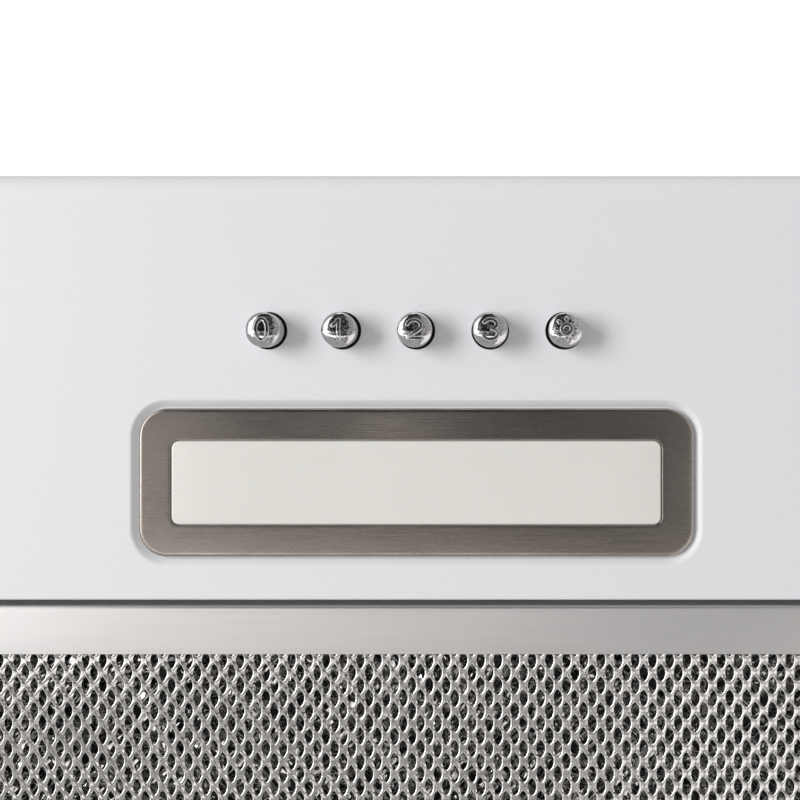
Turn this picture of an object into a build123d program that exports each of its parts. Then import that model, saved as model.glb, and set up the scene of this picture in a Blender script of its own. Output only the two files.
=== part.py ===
"""Built-in range hood insert: a white pressed panel with five push buttons, a strip lamp and a
mesh grease filter, under a galvanised casing that holds a double-inlet blower and its duct collar.

Millimetres. +Z is up and the visible face looks down. X runs along the width, and the front edge,
where the buttons are, lies towards -Y. The origin is the centre of the four cabinet fixing holes,
on the plane where the panel's rim meets the underside of the cabinet.
"""

import math
import os

from build123d import *

# ---------------------------------------------------------------- driving dimensions
SHEET = 1.0  # thickness of every folded steel sheet

PANEL_W, PANEL_D, PANEL_H = 525.0, 293.2, 10.0  # the white panel, outside
PANEL_CORNER_R = 9.0
PANEL_EDGE_R = 7.0  # the soft bend between the face and the rim
FRONT = -PANEL_D / 2
FACE_Z = -PANEL_H  # the visible face
FLOOR_Z = FACE_Z + SHEET  # the inner side of the visible face

FIXING_X, FIXING_Y, FIXING_R, BUSH_R = 252.0, 122.0, 2.3, 3.4  # cabinet screws

BUTTON_Y = FRONT + 43.2
BUTTON_PITCH = 20.0
BUTTON_HOLE_R, BUTTON_R = 5.12, 4.65
BUTTON_PROUD = 8.4  # how far a released button stands out of the panel
CAP_BOTTOM, CAP_TOP = FACE_Z - BUTTON_PROUD, FLOOR_Z + 0.3
COLLAR_R, COLLAR_H = 6.3, 1.0  # the stem's collar, which keeps the button from falling out
SHOULDER_Z = CAP_TOP + 2.3  # the stem's shoulder, which the spring pushes on
STEM_R = 2.2
DOME_R = 7.0  # the crown of each button's face
SPRING_R, SPRING_WIRE_R, SPRING_TURNS = 3.3, 0.35, 5
BUTTONS = {name: BUTTON_PITCH * (i - 2) for i, name in enumerate(["0", "1", "2", "3", "light"])}

SWITCH_W, SWITCH_D, SWITCH_H, SWITCH_WALL = 118.0, 24.0, 18.0, 2.0
DECK_Z = 6.0  # underside of the bracket that carries the switch
SWITCH_Z = DECK_Z + SHEET
BRACKET_X = 65.0

LAMP_Y = FRONT + 84.3
LAMP_W, LAMP_D, LAMP_CORNER_R = 150.0, 40.2, 7.6
LAMP_BORDER = 8.55  # steel border round the opal window
LAMP_WINDOW_R = 2.3
LAMP_SHEET, LAMP_PROUD = 0.8, 0.5
POCKET_DEPTH, POCKET_SLOPE, POCKET_GAP = 1.4, 1.95, 0.35  # the pressed pocket that the lamp sits in
POCKET_EDGE_R = 1.2
POCKET_Z = FACE_Z + POCKET_DEPTH
LAMP_HOUSING_W, LAMP_HOUSING_D, LAMP_HOUSING_TOP, LAMP_WALL = 141.0, 31.4, 6.0, 1.5
LAMP_CLIP_OUTLINE = [(-0.2, 9.5), (0.7, 9.5), (5.8, 1.5), (5.8, 0), (4.6, 0), (4.6, 1.2), (-0.2, 8)]

BAY_FRONT, BAY_REAR, BAY_X = FRONT + 116.1, 126.5, 237.0  # the opening that the filter fills
LEDGE = 6.0  # width of the shelf that stops the filter going up

FILTER_GAP = 1.5
FILTER_FRONT, FILTER_REAR, FILTER_X = BAY_FRONT + FILTER_GAP, BAY_REAR - FILTER_GAP, BAY_X - FILTER_GAP
FILTER_H, FILTER_SHEET = 9.0, 0.8
FILTER_RIM = 13.1  # width of the frame's visible face
FILTER_TOP = FACE_Z + FILTER_H
FILTER_MID_Y = (FILTER_FRONT + FILTER_REAR) / 2
MESH_W, MESH_D = 2 * (FILTER_X - 1.2), FILTER_REAR - FILTER_FRONT - 2.4
MESH_SHEET, MESH_RIM = 0.6, 11.0  # thickness of a net, and its edge hidden in the frame
HOOK_X, HOOK_W = 150.0, 30.0  # the two tabs that hang the filter's front edge on the panel
LATCH_HALF_W, LATCH_TRAVEL = 7.0, 3.0
LATCH_LOW, LATCH_HIGH = FACE_Z + 2.0, FACE_Z + 3.6  # height of the latch tongue
NECK_Y = FILTER_REAR - 10.0
LATCH_NECK_SLOT = ((-4.4, NECK_Y - 0.5, FACE_Z - 2), (4.4, NECK_Y + 4 + LATCH_TRAVEL + 0.4, FACE_Z + 1.5))
HOOK_Z, HOOK_REACH = FLOOR_Z + 0.4, 5.5

CASE_X, CASE_FRONT, CASE_REAR, CASE_TOP = BAY_X + 2 * SHEET, -128.5, BAY_REAR + 2 * SHEET, 175.0
CASE_FLANGE, CASE_SEAM = 9.0, 10.0  # the top sheet is joined to the front and rear sheets at the seams
SCREW_R, SCREW_HEAD_R, SCREW_HEAD_H = 1.7, 3.4, 2.0
SCREW_HOLE_R = SCREW_R + 0.05
CLIP_OUTLINE = [(0, 78), (0, 60), (6.5, 36), (1.2, 18), (2.0, 18), (7.4, 36), (0.8, 61), (0.8, 78)]

FAN_Y, FAN_Z = -20.0, 86.0  # the blower's axis, along X
WHEEL_R, WHEEL_INNER_R, WHEEL_HALF_W = 61.0, 52.0, 47.0
WHEEL_BLADES = 32
SCROLL_HALF_W, SCROLL_WALL = 54.0, 1.8
SCROLL_R = (67.0, 72.0, 78.0)  # three quarter-turn radii, growing towards the outlet
TONGUE_Y, TONGUE_Z = FAN_Y + 12.0, FAN_Z + 71.0  # the nose that parts the wheel from the throat
EYE_R = 50.0  # inlet hole in each side of the scroll
RING_BORE_R, RING_FACE_X = 47.0, SCROLL_HALF_W + 1.5
DRUM_Y = FAN_Y + (SCROLL_R[1] - SCROLL_R[0])  # centre of the scroll's later arcs
THROAT_REAR = DRUM_Y + SCROLL_R[2]

MOTOR_R, SHAFT_R, SHAFT_GAP = 34.0, 4.0, 0.02
BEARING_R, BEARING_W = 9.5, 6.0
BELL_WALL = 2.0
DRIVE_BELL_X, STATOR_X, STATOR_END_X, MOTOR_END_X = 10.0, 34.0, 60.0, 84.0
STATOR_BORE_R, ROTOR_R = 20.3, 20.0
SLOT_CIRCLE_R, SLOT_R, STATOR_SLOTS = 26.0, 3.0, 12

DUCT_Y = (TONGUE_Y + THROAT_REAR) / 2
DUCT_R, DUCT_WALL, DUCT_TOP = 73.7, 2.2, 222.0  # spigot for a 150 mm duct
COLLAR_FLANGE_R, COLLAR_FLANGE_H = 87.0, 3.0
DAMPER_Z, DAMPER_PIN_R, DAMPER_SHEET = 188.0, 1.5, 1.2
KNUCKLE_R = 3.2
FLAP_R = 70.0
PIN_BOSS_X = 67.5

BOX_X, BOX_Y, BOX_Z = (125.0, 225.0), (CASE_FRONT + SHEET, -75.0), (70.0, 120.0)  # control box
BOX_WALL = 1.8
GLAND_X, GLAND_Y, GLAND_BORE_R, GLAND_NECK_R = 175.0, -95.0, 3.6, 6.0
GLAND_BOTTOM = CASE_TOP - 9.0
# each inner lead: its radius and its route from the control box
LEAD_ROUTES = [
    (3.2, [(GLAND_X, GLAND_Y, BOX_Z[1]), (GLAND_X, GLAND_Y, GLAND_BOTTOM)]),
    (2.6, [(140, -100, BOX_Z[0]), (140, -100, 47), (30, -100, 47), (30, -100, SWITCH_Z + SWITCH_H)]),
    (2.0, [(160, -84, BOX_Z[0]), (160, -84, 0), (160, LAMP_Y, 0), (LAMP_HOUSING_W / 2, LAMP_Y, 0)]),
    (2.4, [(BOX_X[0], -100, 98), (104, -100, 98), (104, -32, 98), (MOTOR_END_X, -32, 98)]),
]

os.makedirs("parts", exist_ok=True)


def save(builder, name):
    """Labels a finished sub-part and writes its STEP file."""
    builder.part.label = name
    export_step(builder.part, f"parts/{name}.step")


def box_between(low, high, mode=Mode.ADD):
    """Adds a box from its lowest to its highest corner to the part being built."""
    middle = tuple((a + b) / 2 for a, b in zip(low, high))
    with Locations(middle):
        Box(*[b - a for a, b in zip(low, high)], mode=mode)


def disc(x, y, low, high, radius, mode=Mode.ADD):
    """Adds an upright cylinder between two heights to the part being built."""
    with Locations((x, y, (low + high) / 2)):
        Cylinder(radius, high - low, mode=mode)


def fan_disc(low, high, radius, mode=Mode.ADD, y=FAN_Y, z=FAN_Z):
    """Adds a cylinder lying along X, by default on the blower's axis."""
    with Locations(Location(((low + high) / 2, y, z), (0, 90, 0))):
        Cylinder(radius, high - low, mode=mode)


# ---------------------------------------------------------------- the white panel
def pocket_outline(height, grow):
    """The lamp pocket's rounded outline at a height, grown outwards from the bezel's edge."""
    with BuildSketch(Plane.XY.offset(height)) as outline:
        with Locations((0, LAMP_Y)):
            RectangleRounded(LAMP_W + 2 * grow, LAMP_D + 2 * grow, LAMP_CORNER_R + grow)
    return outline.sketch


def keeper_slot():
    """Cuts the slot for the filter's latch tongue through the rear walls of bay and casing."""
    box_between(
        (-LATCH_HALF_W - 1.5, BAY_REAR - 1, LATCH_LOW - 0.6),
        (LATCH_HALF_W + 1.5, CASE_REAR + 1, LATCH_HIGH + 0.6),
        Mode.SUBTRACT,
    )


with BuildPart() as underside_panel:
    with BuildSketch(Plane.XY.offset(FACE_Z)):
        RectangleRounded(PANEL_W, PANEL_D, PANEL_CORNER_R)
    extrude(amount=PANEL_H)
    fillet(underside_panel.faces().sort_by(Axis.Z)[0].edges(), PANEL_EDGE_R)
    offset(amount=-SHEET, openings=underside_panel.faces().sort_by(Axis.Z)[-1])
    # the filter bay: walls up from the face, and a shelf that stops the filter
    box_between((-BAY_X - SHEET, BAY_FRONT - SHEET, FACE_Z), (BAY_X + SHEET, BAY_REAR + SHEET, SHEET))
    box_between((-BAY_X, BAY_FRONT, FACE_Z), (BAY_X, BAY_REAR, 0), Mode.SUBTRACT)
    box_between(
        (-BAY_X + LEDGE, BAY_FRONT + LEDGE, 0), (BAY_X - LEDGE, BAY_REAR - LEDGE, SHEET), Mode.SUBTRACT
    )
    fillet(underside_panel.faces().sort_by(Axis.Z)[0].inner_wires()[0].edges(), 0.7)
    # the lamp pocket: a tapered bump inside, a tapered hollow outside, and the lamp's cut-out
    loft([pocket_outline(FLOOR_Z, POCKET_GAP + POCKET_SLOPE + SHEET / 2),
          pocket_outline(FLOOR_Z + POCKET_DEPTH, POCKET_GAP + SHEET)])
    loft([pocket_outline(FACE_Z, POCKET_GAP + POCKET_SLOPE), pocket_outline(POCKET_Z, POCKET_GAP)],
         mode=Mode.SUBTRACT)
    pocket_rim = underside_panel.faces().sort_by(Axis.Z)[0].inner_wires().sort_by(lambda wire: wire.length)[0]
    fillet(pocket_rim.edges(), POCKET_EDGE_R)
    with Locations((0, LAMP_Y, POCKET_Z)):
        Box(LAMP_HOUSING_W + 2, LAMP_HOUSING_D + 1.6, 4 * SHEET, mode=Mode.SUBTRACT)
    for x in BUTTONS.values():
        disc(x, BUTTON_Y, FACE_Z - 1, FLOOR_Z + 1, BUTTON_HOLE_R, Mode.SUBTRACT)
    with GridLocations(2 * FIXING_X, 2 * FIXING_Y, 2, 2):
        Cylinder(FIXING_R, 3 * PANEL_H, mode=Mode.SUBTRACT)
    # slots for the filter's two hook tabs, and the keeper slot for its latch
    for x in (-HOOK_X, HOOK_X):
        box_between(
            (x - HOOK_W / 2 - 2, BAY_FRONT - 2 * SHEET, FLOOR_Z),
            (x + HOOK_W / 2 + 2, BAY_FRONT + SHEET / 2, FLOOR_Z + 5.6),
            Mode.SUBTRACT,
        )
    keeper_slot()
save(underside_panel, "underside_panel")

with BuildPart() as fixing_bushes:
    with GridLocations(2 * FIXING_X, 2 * FIXING_Y, 2, 2):
        with Locations((0, 0, FLOOR_Z / 2)):
            Cylinder(BUSH_R, -FLOOR_Z)
            Cylinder(FIXING_R, -FLOOR_Z, mode=Mode.SUBTRACT)
save(fixing_bushes, "fixing_bushes")


# ---------------------------------------------------------------- casing
CASE_SCREWS = [(side * (CASE_X - 5), y) for side in (-1, 1) for y in (-105.0, 0.0, 105.0)]
SCROLL_SCREWS = [(x, DUCT_Y + y) for x in (-68.0, 68.0) for y in (-68.0, 68.0)]
COLLAR_SCREWS = [(x, DUCT_Y + y) for x in (-56.5, 56.5) for y in (-56.5, 56.5)]


def screw_holes(centres):
    """Cuts the clearance holes of the screws on the casing's top."""
    for x, y in centres:
        disc(x, y, CASE_TOP - 8, CASE_TOP + 8, SCREW_HOLE_R, Mode.SUBTRACT)


with BuildPart() as casing_shell:
    box_between((-CASE_X + SHEET, CASE_FRONT, FLOOR_Z), (CASE_X - SHEET, CASE_REAR, CASE_TOP))
    fillet(casing_shell.edges().filter_by(Axis.X).group_by(Axis.Z)[-1], 3.0)
    with BuildPart(mode=Mode.SUBTRACT) as hollow:
        box_between(
            (-CASE_X, CASE_FRONT + SHEET, FLOOR_Z + SHEET), (CASE_X, CASE_REAR - SHEET, CASE_TOP - SHEET)
        )
        fillet(hollow.edges().filter_by(Axis.X).group_by(Axis.Z)[-1], 3.0 - SHEET)
    box_between(
        (-CASE_X, CASE_FRONT + CASE_FLANGE, FLOOR_Z),
        (CASE_X, CASE_REAR - SHEET, FLOOR_Z + SHEET),
        Mode.SUBTRACT,
    )
    disc(0, DUCT_Y, CASE_TOP - 3, CASE_TOP + 3, DUCT_R - DUCT_WALL, Mode.SUBTRACT)
    disc(GLAND_X, GLAND_Y, CASE_TOP - 3, CASE_TOP + 3, GLAND_NECK_R, Mode.SUBTRACT)
    screw_holes(CASE_SCREWS + SCROLL_SCREWS + COLLAR_SCREWS)
    keeper_slot()
    for seam_y in (CASE_FRONT + CASE_SEAM, CASE_REAR - CASE_SEAM):
        split(bisect_by=Plane(origin=(0, seam_y, 0), z_dir=(0, 1, 0)), keep=Keep.BOTH)
save(casing_shell, "casing_shell")


# each end of the casing: a flat plate with flanges folded in against the shell and the panel
with BuildPart() as end_plates:
    for side in (-1, 1):
        inside, fold = side * (CASE_X - SHEET), side * (CASE_X - SHEET - CASE_FLANGE)
        near, far = min(inside, fold), max(inside, fold)
        with BuildPart() as plate:
            low_x, high_x = sorted((inside, side * CASE_X))
            box_between((low_x, CASE_FRONT, FLOOR_Z), (high_x, CASE_REAR, CASE_TOP))
            fillet(plate.edges().filter_by(Axis.X).group_by(Axis.Z)[-1], 3.0)
            box_between((near, -118, CASE_TOP - 2 * SHEET), (far, 118, CASE_TOP - SHEET))
            box_between((near, CASE_FRONT + SHEET, 12), (far, CASE_FRONT + 2 * SHEET, 163))
            box_between((near, CASE_REAR - 2 * SHEET, 12), (far, CASE_REAR - SHEET, 163))
            box_between((near, -117, FLOOR_Z), (far, BAY_FRONT - 6, FLOOR_Z + SHEET))
            screw_holes(CASE_SCREWS)
save(end_plates, "end_plates")

with BuildPart() as side_clips:
    for side in (-1, 1):
        for y in (-70.0, 70.0):
            with BuildSketch(Plane.XZ.offset(-y - 15)):
                with BuildLine():
                    Polyline(*[(side * (CASE_X + x), z) for x, z in CLIP_OUTLINE], close=True)
                make_face()
            extrude(amount=30)
save(side_clips, "side_clips")

with BuildPart() as casing_screws:
    for x, y in CASE_SCREWS + SCROLL_SCREWS + COLLAR_SCREWS:
        seat = CASE_TOP + (COLLAR_FLANGE_H if (x, y) in COLLAR_SCREWS else 0)
        disc(x, y, seat, seat + SCREW_HEAD_H, SCREW_HEAD_R)
        disc(x, y, CASE_TOP - 6, seat, SCREW_R)
    head_area = math.pi * SCREW_HEAD_R ** 2
    fillet(casing_screws.faces().filter_by(lambda face: abs(face.area - head_area) < 0.1).edges(), 0.7)
save(casing_screws, "casing_screws")


# ---------------------------------------------------------------- duct collar and its two flaps
with BuildPart() as collar_plate:
    disc(0, DUCT_Y, CASE_TOP, CASE_TOP + COLLAR_FLANGE_H, COLLAR_FLANGE_R)
    chamfer(collar_plate.faces().sort_by(Axis.Z)[-1].edges(), 0.8)
    disc(0, DUCT_Y, CASE_TOP - 1, CASE_TOP + 5, DUCT_R - DUCT_WALL, Mode.SUBTRACT)
    screw_holes(COLLAR_SCREWS)
save(collar_plate, "collar_plate")

with BuildPart() as duct_collar:
    disc(0, DUCT_Y, CASE_TOP + COLLAR_FLANGE_H, DUCT_TOP, DUCT_R)
    chamfer(duct_collar.faces().sort_by(Axis.Z)[-1].edges(), 0.8)
    disc(0, DUCT_Y, CASE_TOP - 1, DUCT_TOP + 1, DUCT_R - DUCT_WALL, Mode.SUBTRACT)
    for side in (-1, 1):
        wall_x = side * (DUCT_R - DUCT_WALL)
        fan_disc(*sorted((side * PIN_BOSS_X, wall_x + side * 1.0)), KNUCKLE_R, y=DUCT_Y, z=DAMPER_Z)
        stop_y = sorted((DUCT_Y + side * (DUCT_R - 1), DUCT_Y + side * (FLAP_R - 4)))
        box_between((-7, stop_y[0], DAMPER_Z - 9), (7, stop_y[1], DAMPER_Z - KNUCKLE_R - 0.3))
    fan_disc(-DUCT_R + 1, DUCT_R - 1, DAMPER_PIN_R, Mode.SUBTRACT, DUCT_Y, DAMPER_Z)
save(duct_collar, "duct_collar")

with BuildPart() as damper_pin:
    fan_disc(-DUCT_R + 1, DUCT_R - 1, DAMPER_PIN_R, y=DUCT_Y, z=DAMPER_Z)
save(damper_pin, "damper_pin")


def damper_flap(side, knuckles):
    """Half of the butterfly damper: a half disc under the pin, hung on it by two knuckles."""
    with BuildPart() as flap:
        with BuildSketch(Plane.XY.offset(DAMPER_Z - KNUCKLE_R)):
            with Locations((0, DUCT_Y)):
                Circle(FLAP_R)
            with Locations((0, DUCT_Y - side * (FLAP_R - 3.6))):
                Rectangle(2 * FLAP_R, 2 * FLAP_R, mode=Mode.SUBTRACT)
        extrude(amount=DAMPER_SHEET)
        for low, high in knuckles:
            edge = sorted((DUCT_Y, DUCT_Y + side * 4.2))
            bottom = DAMPER_Z - KNUCKLE_R
            box_between((low, edge[0], bottom), (high, edge[1], bottom + DAMPER_SHEET))
            fan_disc(low, high, KNUCKLE_R, y=DUCT_Y, z=DAMPER_Z)
            fan_disc(low - 1, high + 1, DAMPER_PIN_R + 0.06, Mode.SUBTRACT, DUCT_Y, DAMPER_Z)
    return flap


save(damper_flap(-1, [(-60, -45), (15, 30)]), "damper_flap_front")
save(damper_flap(1, [(-30, -15), (45, 60)]), "damper_flap_rear")


# ---------------------------------------------------------------- blower
def scroll_outline(x, grow, top):
    """The scroll's outline on a plane of constant X, grown outwards and cut off at a height."""
    arc_top = FAN_Z - SCROLL_R[1] + SCROLL_R[2]
    mouth = CASE_TOP + 10
    with BuildSketch(Plane.YZ.offset(x)) as outline:
        with BuildLine():
            CenterArc((FAN_Y, FAN_Z), SCROLL_R[0], 90, 90)
            CenterArc((DRUM_Y, FAN_Z), SCROLL_R[1], 180, 90)
            CenterArc((DRUM_Y, arc_top), SCROLL_R[2], 270, 90)
            Polyline((THROAT_REAR, arc_top), (THROAT_REAR, mouth), (TONGUE_Y, mouth),
                     (TONGUE_Y, TONGUE_Z), (FAN_Y, FAN_Z + SCROLL_R[0]))
        make_face()
        if grow:
            offset(amount=grow)
        with Locations((FAN_Y, top + 50)):
            Rectangle(400, 100, mode=Mode.SUBTRACT)
    return outline.sketch


with BuildPart() as scroll:
    extrude(scroll_outline(-SCROLL_HALF_W, SCROLL_WALL, CASE_TOP - SHEET), amount=2 * SCROLL_HALF_W)
    extrude(scroll_outline(-2, SCROLL_WALL + 5, CASE_TOP - 8), amount=4)
    box_between((-76, DUCT_Y - 76, CASE_TOP - SHEET - 1.8), (76, DUCT_Y + 76, CASE_TOP - SHEET))
    air_half_w = SCROLL_HALF_W - SCROLL_WALL
    extrude(scroll_outline(-air_half_w, 0, CASE_TOP + 5), amount=2 * air_half_w, mode=Mode.SUBTRACT)
    fan_disc(-SCROLL_HALF_W - 1, SCROLL_HALF_W + 1, EYE_R, Mode.SUBTRACT)
    screw_holes(SCROLL_SCREWS + COLLAR_SCREWS)

with BuildPart() as scroll_left:
    add(scroll.part)
    split(bisect_by=Plane.YZ, keep=Keep.BOTTOM)
save(scroll_left, "scroll_left")

with BuildPart() as scroll_right:
    add(scroll.part)
    split(bisect_by=Plane.YZ, keep=Keep.TOP)
save(scroll_right, "scroll_right")

FAN_AXIS = Axis((0, FAN_Y, FAN_Z), (1, 0, 0))
with BuildPart() as inlet_rings:
    for side in (-1, 1):
        with BuildSketch(Plane(origin=(0, FAN_Y, FAN_Z), x_dir=(side, 0, 0), z_dir=(0, -side, 0))) as bell:
            with BuildLine():
                Polyline((SCROLL_HALF_W, EYE_R + 13), (RING_FACE_X, EYE_R + 13), (RING_FACE_X, RING_BORE_R),
                         (WHEEL_HALF_W + 2, RING_BORE_R), (WHEEL_HALF_W + 2, RING_BORE_R + 1.5),
                         (SCROLL_HALF_W, RING_BORE_R + 1.5), close=True)
            make_face()
            fillet(bell.vertices().sort_by(lambda corner: corner.X - corner.Y)[-1], 2.4)
        revolve(axis=FAN_AXIS)
save(inlet_rings, "inlet_rings")

with BuildSketch() as blade:
    with BuildLine():
        ThreePointArc((WHEEL_INNER_R, 0), (57.0, 0.7), (WHEEL_R - 0.9, 4.8))
    trace(line_width=1.0)

with BuildPart() as impeller_disc:
    fan_disc(-1, 1, WHEEL_R - 0.8)
    fan_disc(-12, 6, 12)
    fan_disc(-20, 20, SHAFT_R, Mode.SUBTRACT)
save(impeller_disc, "impeller_disc")

# the blades stand on both sides of the disc, and a ring joins their far ends
with BuildPart() as impeller_cages:
    for low, ring_low in ((-WHEEL_HALF_W, -WHEEL_HALF_W), (1, WHEEL_HALF_W - 2)):
        fan_disc(ring_low, ring_low + 2, WHEEL_R)
        fan_disc(ring_low - 1, ring_low + 3, WHEEL_INNER_R + 3, Mode.SUBTRACT)
        with BuildSketch(Plane.YZ.offset(low)):
            with Locations((FAN_Y, FAN_Z)):
                with PolarLocations(0, WHEEL_BLADES):
                    add(blade.sketch)
        extrude(amount=WHEEL_HALF_W - 1)
save(impeller_cages, "impeller_cages")

with BuildPart() as motor_shaft:
    fan_disc(-19, MOTOR_END_X - BELL_WALL - 0.4, SHAFT_R)
save(motor_shaft, "motor_shaft")

with BuildPart() as impeller_nut:
    with BuildSketch(Plane.YZ.offset(-16.5)):
        with Locations((FAN_Y, FAN_Z)):
            RegularPolygon(7.5, 6)
            Circle(SHAFT_R, mode=Mode.SUBTRACT)
    extrude(amount=4.5)
save(impeller_nut, "impeller_nut")

with BuildPart() as motor_rotor:
    fan_disc(STATOR_X - 4, STATOR_END_X + 4, ROTOR_R)
    fan_disc(STATOR_X - 5, STATOR_END_X + 5, SHAFT_R, Mode.SUBTRACT)
save(motor_rotor, "motor_rotor")

with BuildPart() as motor_stator:
    fan_disc(STATOR_X, STATOR_END_X, MOTOR_R)
    fan_disc(STATOR_X - 1, STATOR_END_X + 1, STATOR_BORE_R, Mode.SUBTRACT)
    with BuildSketch(Plane.YZ.offset(STATOR_X)):
        with Locations((FAN_Y, FAN_Z)):
            with PolarLocations(SLOT_CIRCLE_R, STATOR_SLOTS):
                Circle(SLOT_R)
    extrude(amount=STATOR_END_X - STATOR_X, mode=Mode.SUBTRACT)
save(motor_stator, "motor_stator")

with BuildPart() as motor_windings:
    for low, high in ((STATOR_X - 8, STATOR_X), (STATOR_END_X, STATOR_END_X + 8)):
        fan_disc(low, high, SLOT_CIRCLE_R + SLOT_R + 0.8)
        fan_disc(low - 1, high + 1, SLOT_CIRCLE_R - SLOT_R - 0.8, Mode.SUBTRACT)
    fillet(motor_windings.edges().filter_by(GeomType.CIRCLE), 1.5)
    with BuildSketch(Plane.YZ.offset(STATOR_X - 2)):
        with Locations((FAN_Y, FAN_Z)):
            with PolarLocations(SLOT_CIRCLE_R, STATOR_SLOTS):
                Circle(SLOT_R)
    extrude(amount=STATOR_END_X - STATOR_X + 4)
save(motor_windings, "motor_windings")


def motor_bell(outer_face, stator_face):
    """A motor end bell: a vented cup between its outer face and the stator, with a bearing seat."""
    inward = 1 if stator_face > outer_face else -1
    inner_face = outer_face + inward * BELL_WALL
    with BuildPart() as bell:
        fan_disc(*sorted((outer_face, stator_face)), MOTOR_R)
        fillet(bell.edges().filter_by(GeomType.CIRCLE).filter_by(
            lambda edge: abs(edge.center().X - outer_face) < 0.1), 1.6)
        fan_disc(*sorted((inner_face, stator_face + inward)), MOTOR_R - BELL_WALL, Mode.SUBTRACT)
        fan_disc(*sorted((inner_face, inner_face + inward * BEARING_W)), BEARING_R + BELL_WALL)
        fan_disc(*sorted((inner_face, inner_face + inward * BEARING_W)), BEARING_R, Mode.SUBTRACT)
        fan_disc(*sorted((outer_face - inward, inner_face + inward)), SHAFT_R + 0.6, Mode.SUBTRACT)
        with BuildSketch(Plane.YZ.offset(min(outer_face, inner_face))):
            with Locations((FAN_Y, FAN_Z)):
                with PolarLocations(22, 6, start_angle=30):
                    Circle(4.5)
        extrude(amount=BELL_WALL, mode=Mode.SUBTRACT)
    return bell


save(motor_bell(DRIVE_BELL_X, STATOR_X), "motor_drive_bell")
save(motor_bell(MOTOR_END_X, STATOR_END_X), "motor_outer_bell")

with BuildPart() as motor_bearings:
    for low in (DRIVE_BELL_X + BELL_WALL, MOTOR_END_X - BELL_WALL - BEARING_W):
        fan_disc(low, low + BEARING_W, BEARING_R)
        fan_disc(low - 1, low + BEARING_W + 1, SHAFT_R + SHAFT_GAP, Mode.SUBTRACT)
save(motor_bearings, "motor_bearings")

with BuildPart() as motor_bracket:
    fan_disc(STATOR_END_X, STATOR_END_X + 10, MOTOR_R + 2.5)
    for angle in (60, 180, 300):
        with Locations(Pos(0, FAN_Y, FAN_Z) * Rot(angle, 0, 0)):
            with Locations((STATOR_END_X + 3, 0, (MOTOR_R + EYE_R + 12) / 2)):
                Box(2, 11, EYE_R + 12 - MOTOR_R)
            with Locations(((RING_FACE_X + STATOR_END_X + 2) / 2, 0, EYE_R + 9)):
                Box(STATOR_END_X + 2 - RING_FACE_X, 11, 6)
    fan_disc(STATOR_END_X - 5, STATOR_END_X + 11, MOTOR_R, Mode.SUBTRACT)
save(motor_bracket, "motor_bracket")


# ---------------------------------------------------------------- control box, gland and wiring
with BuildPart() as control_box:
    box_between(*zip(BOX_X, (BOX_Y[0], BOX_Y[1] - 1.2), BOX_Z))
    fillet(control_box.edges().filter_by(Axis.Y), 3.0)
    box_between(
        (BOX_X[0] + BOX_WALL, BOX_Y[0] + BOX_WALL, BOX_Z[0] + BOX_WALL),
        (BOX_X[1] - BOX_WALL, BOX_Y[1], BOX_Z[1] - BOX_WALL),
        Mode.SUBTRACT,
    )
save(control_box, "control_box")

with BuildPart() as control_box_lid:
    box_between(*zip(BOX_X, (BOX_Y[1] - 1.2, BOX_Y[1]), BOX_Z))
    fillet(control_box_lid.edges().filter_by(Axis.Y), 3.0)
save(control_box_lid, "control_box_lid")

with BuildPart() as terminal_block:
    block_y = BOX_Y[0] + BOX_WALL
    box_between((135, block_y, 100), (205, block_y + 14, 114))
    for i in range(6):
        post_x = 141 + 11.6 * i
        box_between((post_x - 3.6, block_y + 9, 99), (post_x + 3.6, block_y + 15, 115), Mode.SUBTRACT)
        with Locations(Location((post_x, block_y + 9, 107), (90, 0, 0))):
            Cylinder(2.4, 3)
save(terminal_block, "terminal_block")

with BuildPart() as run_capacitor:
    fan_disc(148, 202, 12, y=BOX_Y[0] + 22, z=BOX_Z[0] + BOX_WALL + 12)
    fillet(run_capacitor.edges().filter_by(GeomType.CIRCLE), 1.2)
save(run_capacitor, "run_capacitor")

with BuildPart() as cable_gland:
    for low, high, radius in ((CASE_TOP - 6.5, CASE_TOP - SHEET, 10.0), (CASE_TOP, CASE_TOP + 6, 11.0)):
        with BuildSketch(Plane.XY.offset(low)):
            with Locations((GLAND_X, GLAND_Y)):
                RegularPolygon(radius, 6)
        extrude(amount=high - low)
    disc(GLAND_X, GLAND_Y, GLAND_BOTTOM, CASE_TOP, GLAND_NECK_R)
    disc(GLAND_X, GLAND_Y, CASE_TOP + 6, CASE_TOP + 14, 8.6)
    fillet(cable_gland.faces().sort_by(Axis.Z)[-1].edges(), 2.0)
    disc(GLAND_X, GLAND_Y, GLAND_BOTTOM - 1, CASE_TOP + 15, GLAND_BORE_R, Mode.SUBTRACT)
save(cable_gland, "cable_gland")

with BuildPart() as wiring_leads:
    for radius, route in LEAD_ROUTES:
        with BuildLine() as lead:
            if len(route) == 2:
                Line(*route)
            else:
                FilletPolyline(*route, radius=9.0)
        with BuildSketch(Plane(origin=lead.line @ 0, z_dir=lead.line % 0)):
            Circle(radius)
        sweep()
save(wiring_leads, "wiring_leads")


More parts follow.
